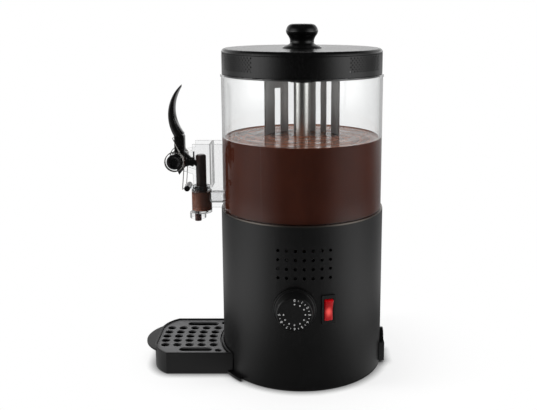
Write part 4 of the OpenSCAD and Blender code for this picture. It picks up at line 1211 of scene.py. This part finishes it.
@dataclass(frozen=True)
class Lamp:
    """A soft box that looks at the machine and isn't seen by gloss or clear plastic."""

    name: str
    spot: Point
    size: float
    power: float

    def hang(self, target: Point) -> None:
        """Adds the lamp and turns it to its target.

        Args:
            target: the point that it looks at.
        """
        data = bpy.data.lights.new(self.name, "AREA")
        data.shape, data.size, data.size_y, data.energy = "RECTANGLE", self.size * 0.6, self.size, self.power
        lamp = add_object(self.name, data)
        lamp.location = self.spot
        lamp.visible_transmission = lamp.visible_glossy = False
        aim = np.array(target) - self.spot
        yaw = math.atan2(aim[1], aim[0]) - math.pi / 2
        lamp.rotation_euler = (math.atan2(np.hypot(*aim[:2]), -aim[2]), 0, yaw)


@dataclass
class Studio:
    """Camera, soft light and a white surround."""

    pitch: float = 11.1
    camera: Point = (1.043, 0.0, 0.4853)
    lens: float = 52.36
    sensor: float = 36.0
    shift: Pair = (-0.0624, -0.080)
    target: Point = (0.0, 0.0, 0.25)
    lamps: tuple[Lamp, ...] = (
        Lamp("left", (0.35, -1.6, 0.9), 0.8, 22.0), Lamp("right", (0.35, 1.6, 0.9), 0.8, 18.0),
        Lamp("top", (-0.2, 0.0, 1.7), 1.2, 12.0))
    floor_half: float = 6.0
    paint: Colour = (0.82, 0.82, 0.82)
    contact_shadow: float = 14 * MM

    def aim(self) -> None:
        """The photograph's viewpoint, with its off-centre frame."""
        data = bpy.data.cameras.new("camera")
        data.lens, data.sensor_width, data.sensor_fit = self.lens, self.sensor, "HORIZONTAL"
        data.shift_x, data.shift_y = self.shift
        eye = add_object("camera", data)
        eye.location = self.camera
        eye.rotation_euler = (math.radians(90 - self.pitch), 0, math.radians(90))
        bpy.context.scene.camera = eye

    @staticmethod
    def around(x: Value, y: Value) -> tuple[Value, Value, Value]:
        """Where a direction points.

        Args:
            x: its part towards the camera.
            y: its part to the camera's right.

        Returns:
            Its level length, how far it lies in the soft boxes at the sides, and how far it lies behind.
        """
        level = (x * x + y * y + 1e-4).math("SQRT")
        front = x / level
        side = front.step(-0.55, 0.35) * front.step(0.45, 0.97, 1.0, 0.0)
        return level, side, front.step(-0.7, -0.1, 1.0, 0.0)

    @staticmethod
    def views(graph: Graph) -> tuple[Value, Value]:
        """Who looks at a place of the surround.

        Args:
            graph: the tree of the world or the floor.

        Returns:
            Whether the camera sees it, itself or through clear plastic, and whether gloss mirrored the ray.
        """
        camera, through, turned, scattered = (
            graph.make("ShaderNodeLightPath", output=name)
            for name in ("Is Camera Ray", "Is Transmission Ray", "Glossy Depth", "Diffuse Depth"))
        shiny = turned.math("MINIMUM", 1.0)
        straight = (1 - shiny) * (1 - scattered.math("MINIMUM", 1.0))
        return camera.math("MAXIMUM", through * straight), shiny

    def surround(self) -> None:
        """White for the camera, boxes at the sides and white behind for gloss, soft side light for matt."""
        world = bpy.data.worlds.new("studio")
        bpy.context.scene.world = world
        world.use_nodes = True
        graph = Graph(world.node_tree)
        x, y, z = graph.axes(graph.make("ShaderNodeTexCoord", output="Generated"))
        _, side, behind = self.around(x, y)
        seen, shiny = self.views(graph)
        # Gloss sees boxes that are brighter past the floor's edge, a wall behind that is brightest just
        # over the horizon, and a nearly black ceiling
        boxes = side * z.step(-0.01, 0.03, 2.1, 0.9)
        wall = behind * (z.step(-0.01, 0.03) * z.step(0.1, 0.2, 1.25, 0.45) + 0.2)
        mirrored = (boxes + wall) * z.step(0.3, 0.75, 1.0, 0.0) + 0.02
        matt = side * 0.6 + behind * 0.3 + 0.25
        strength = seen + (1 - seen) * (shiny * mirrored + (1 - shiny) * matt)
        light = graph.make("ShaderNodeBackground", None, {"Color": WHITE, "Strength": strength})
        graph.show(light, "ShaderNodeOutputWorld")

    def floor(self) -> None:
        """A pale floor that fades to white away from the machine and keeps its soft shadow."""
        square = self.floor_half * np.array([(-1, -1, 0), (1, -1, 0), (1, 1, 0), (-1, 1, 0)], float)
        floor = make_piece("floor", square, [[0, 1, 2, 3]])
        made, graph = new_material("floor")
        x, y, _ = graph.axes()
        level, side, behind = self.around(x, y)
        seen, shiny = self.views(graph)
        inputs = {"Distance": self.contact_shadow}
        open_sky = graph.make("ShaderNodeAmbientOcclusion", {"samples": 16}, inputs, "AO") ** 1.6
        tint = graph.mix(open_sky, (0.0, 0.0, 0.0), self.paint)
        paint = graph.make("ShaderNodeBsdfDiffuse", None, {"Color": tint})
        # The camera sees paint with a shadow at the foot, and plain white from 0.3 m on
        plain = graph.blended(seen * level.step(0.12, 0.3, 0.65, 1.0), paint, graph.glow(open_sky))
        # Gloss sees the boxes' light on it: the casing mirrors the near floor, the tank the floor 1 to 2 m
        # away and the lid the far floor. The floor under the machine is dark
        boxes = side * (level.step(0.85, 1.15, 0.85, 0.4) + level.step(2.2, 3.8, 0.0, 1.7))
        back = behind * level.step(1.0, 2.5, 0.26, 0.46)
        near = level.step(0.3, 0.9, 0.25, 0.05)
        under = level.step(0.22, 0.4, 0.35, 1.0)
        graph.show(graph.blended(shiny, plain, graph.glow((boxes + back + near) * under)))
        floor.data.materials.append(made)

    def build(self) -> None:
        """Sets up the whole studio."""
        bpy.context.scene.view_settings.view_transform = "Standard"
        self.aim()
        self.surround()
        self.floor()
        for lamp in self.lamps:
            lamp.hang(self.target)


def main() -> None:
    """Loads the frame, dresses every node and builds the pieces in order."""
    logging.basicConfig(level=logging.INFO, format="%(message)s")
    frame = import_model()
    Studio().build()
    for finish, names in NODE_FINISH.items():
        finish.dress(*(frame["nodes"][name] for name in names.split()))
    for part in (Lid(), Drink(), Dial(), Rocker(), Lever(), Spring()):
        part.build()
    for name, finish, body, width in EASED:
        ease_node(frame["nodes"][name], finish, body, width)


if __name__ == "__main__":
    main()
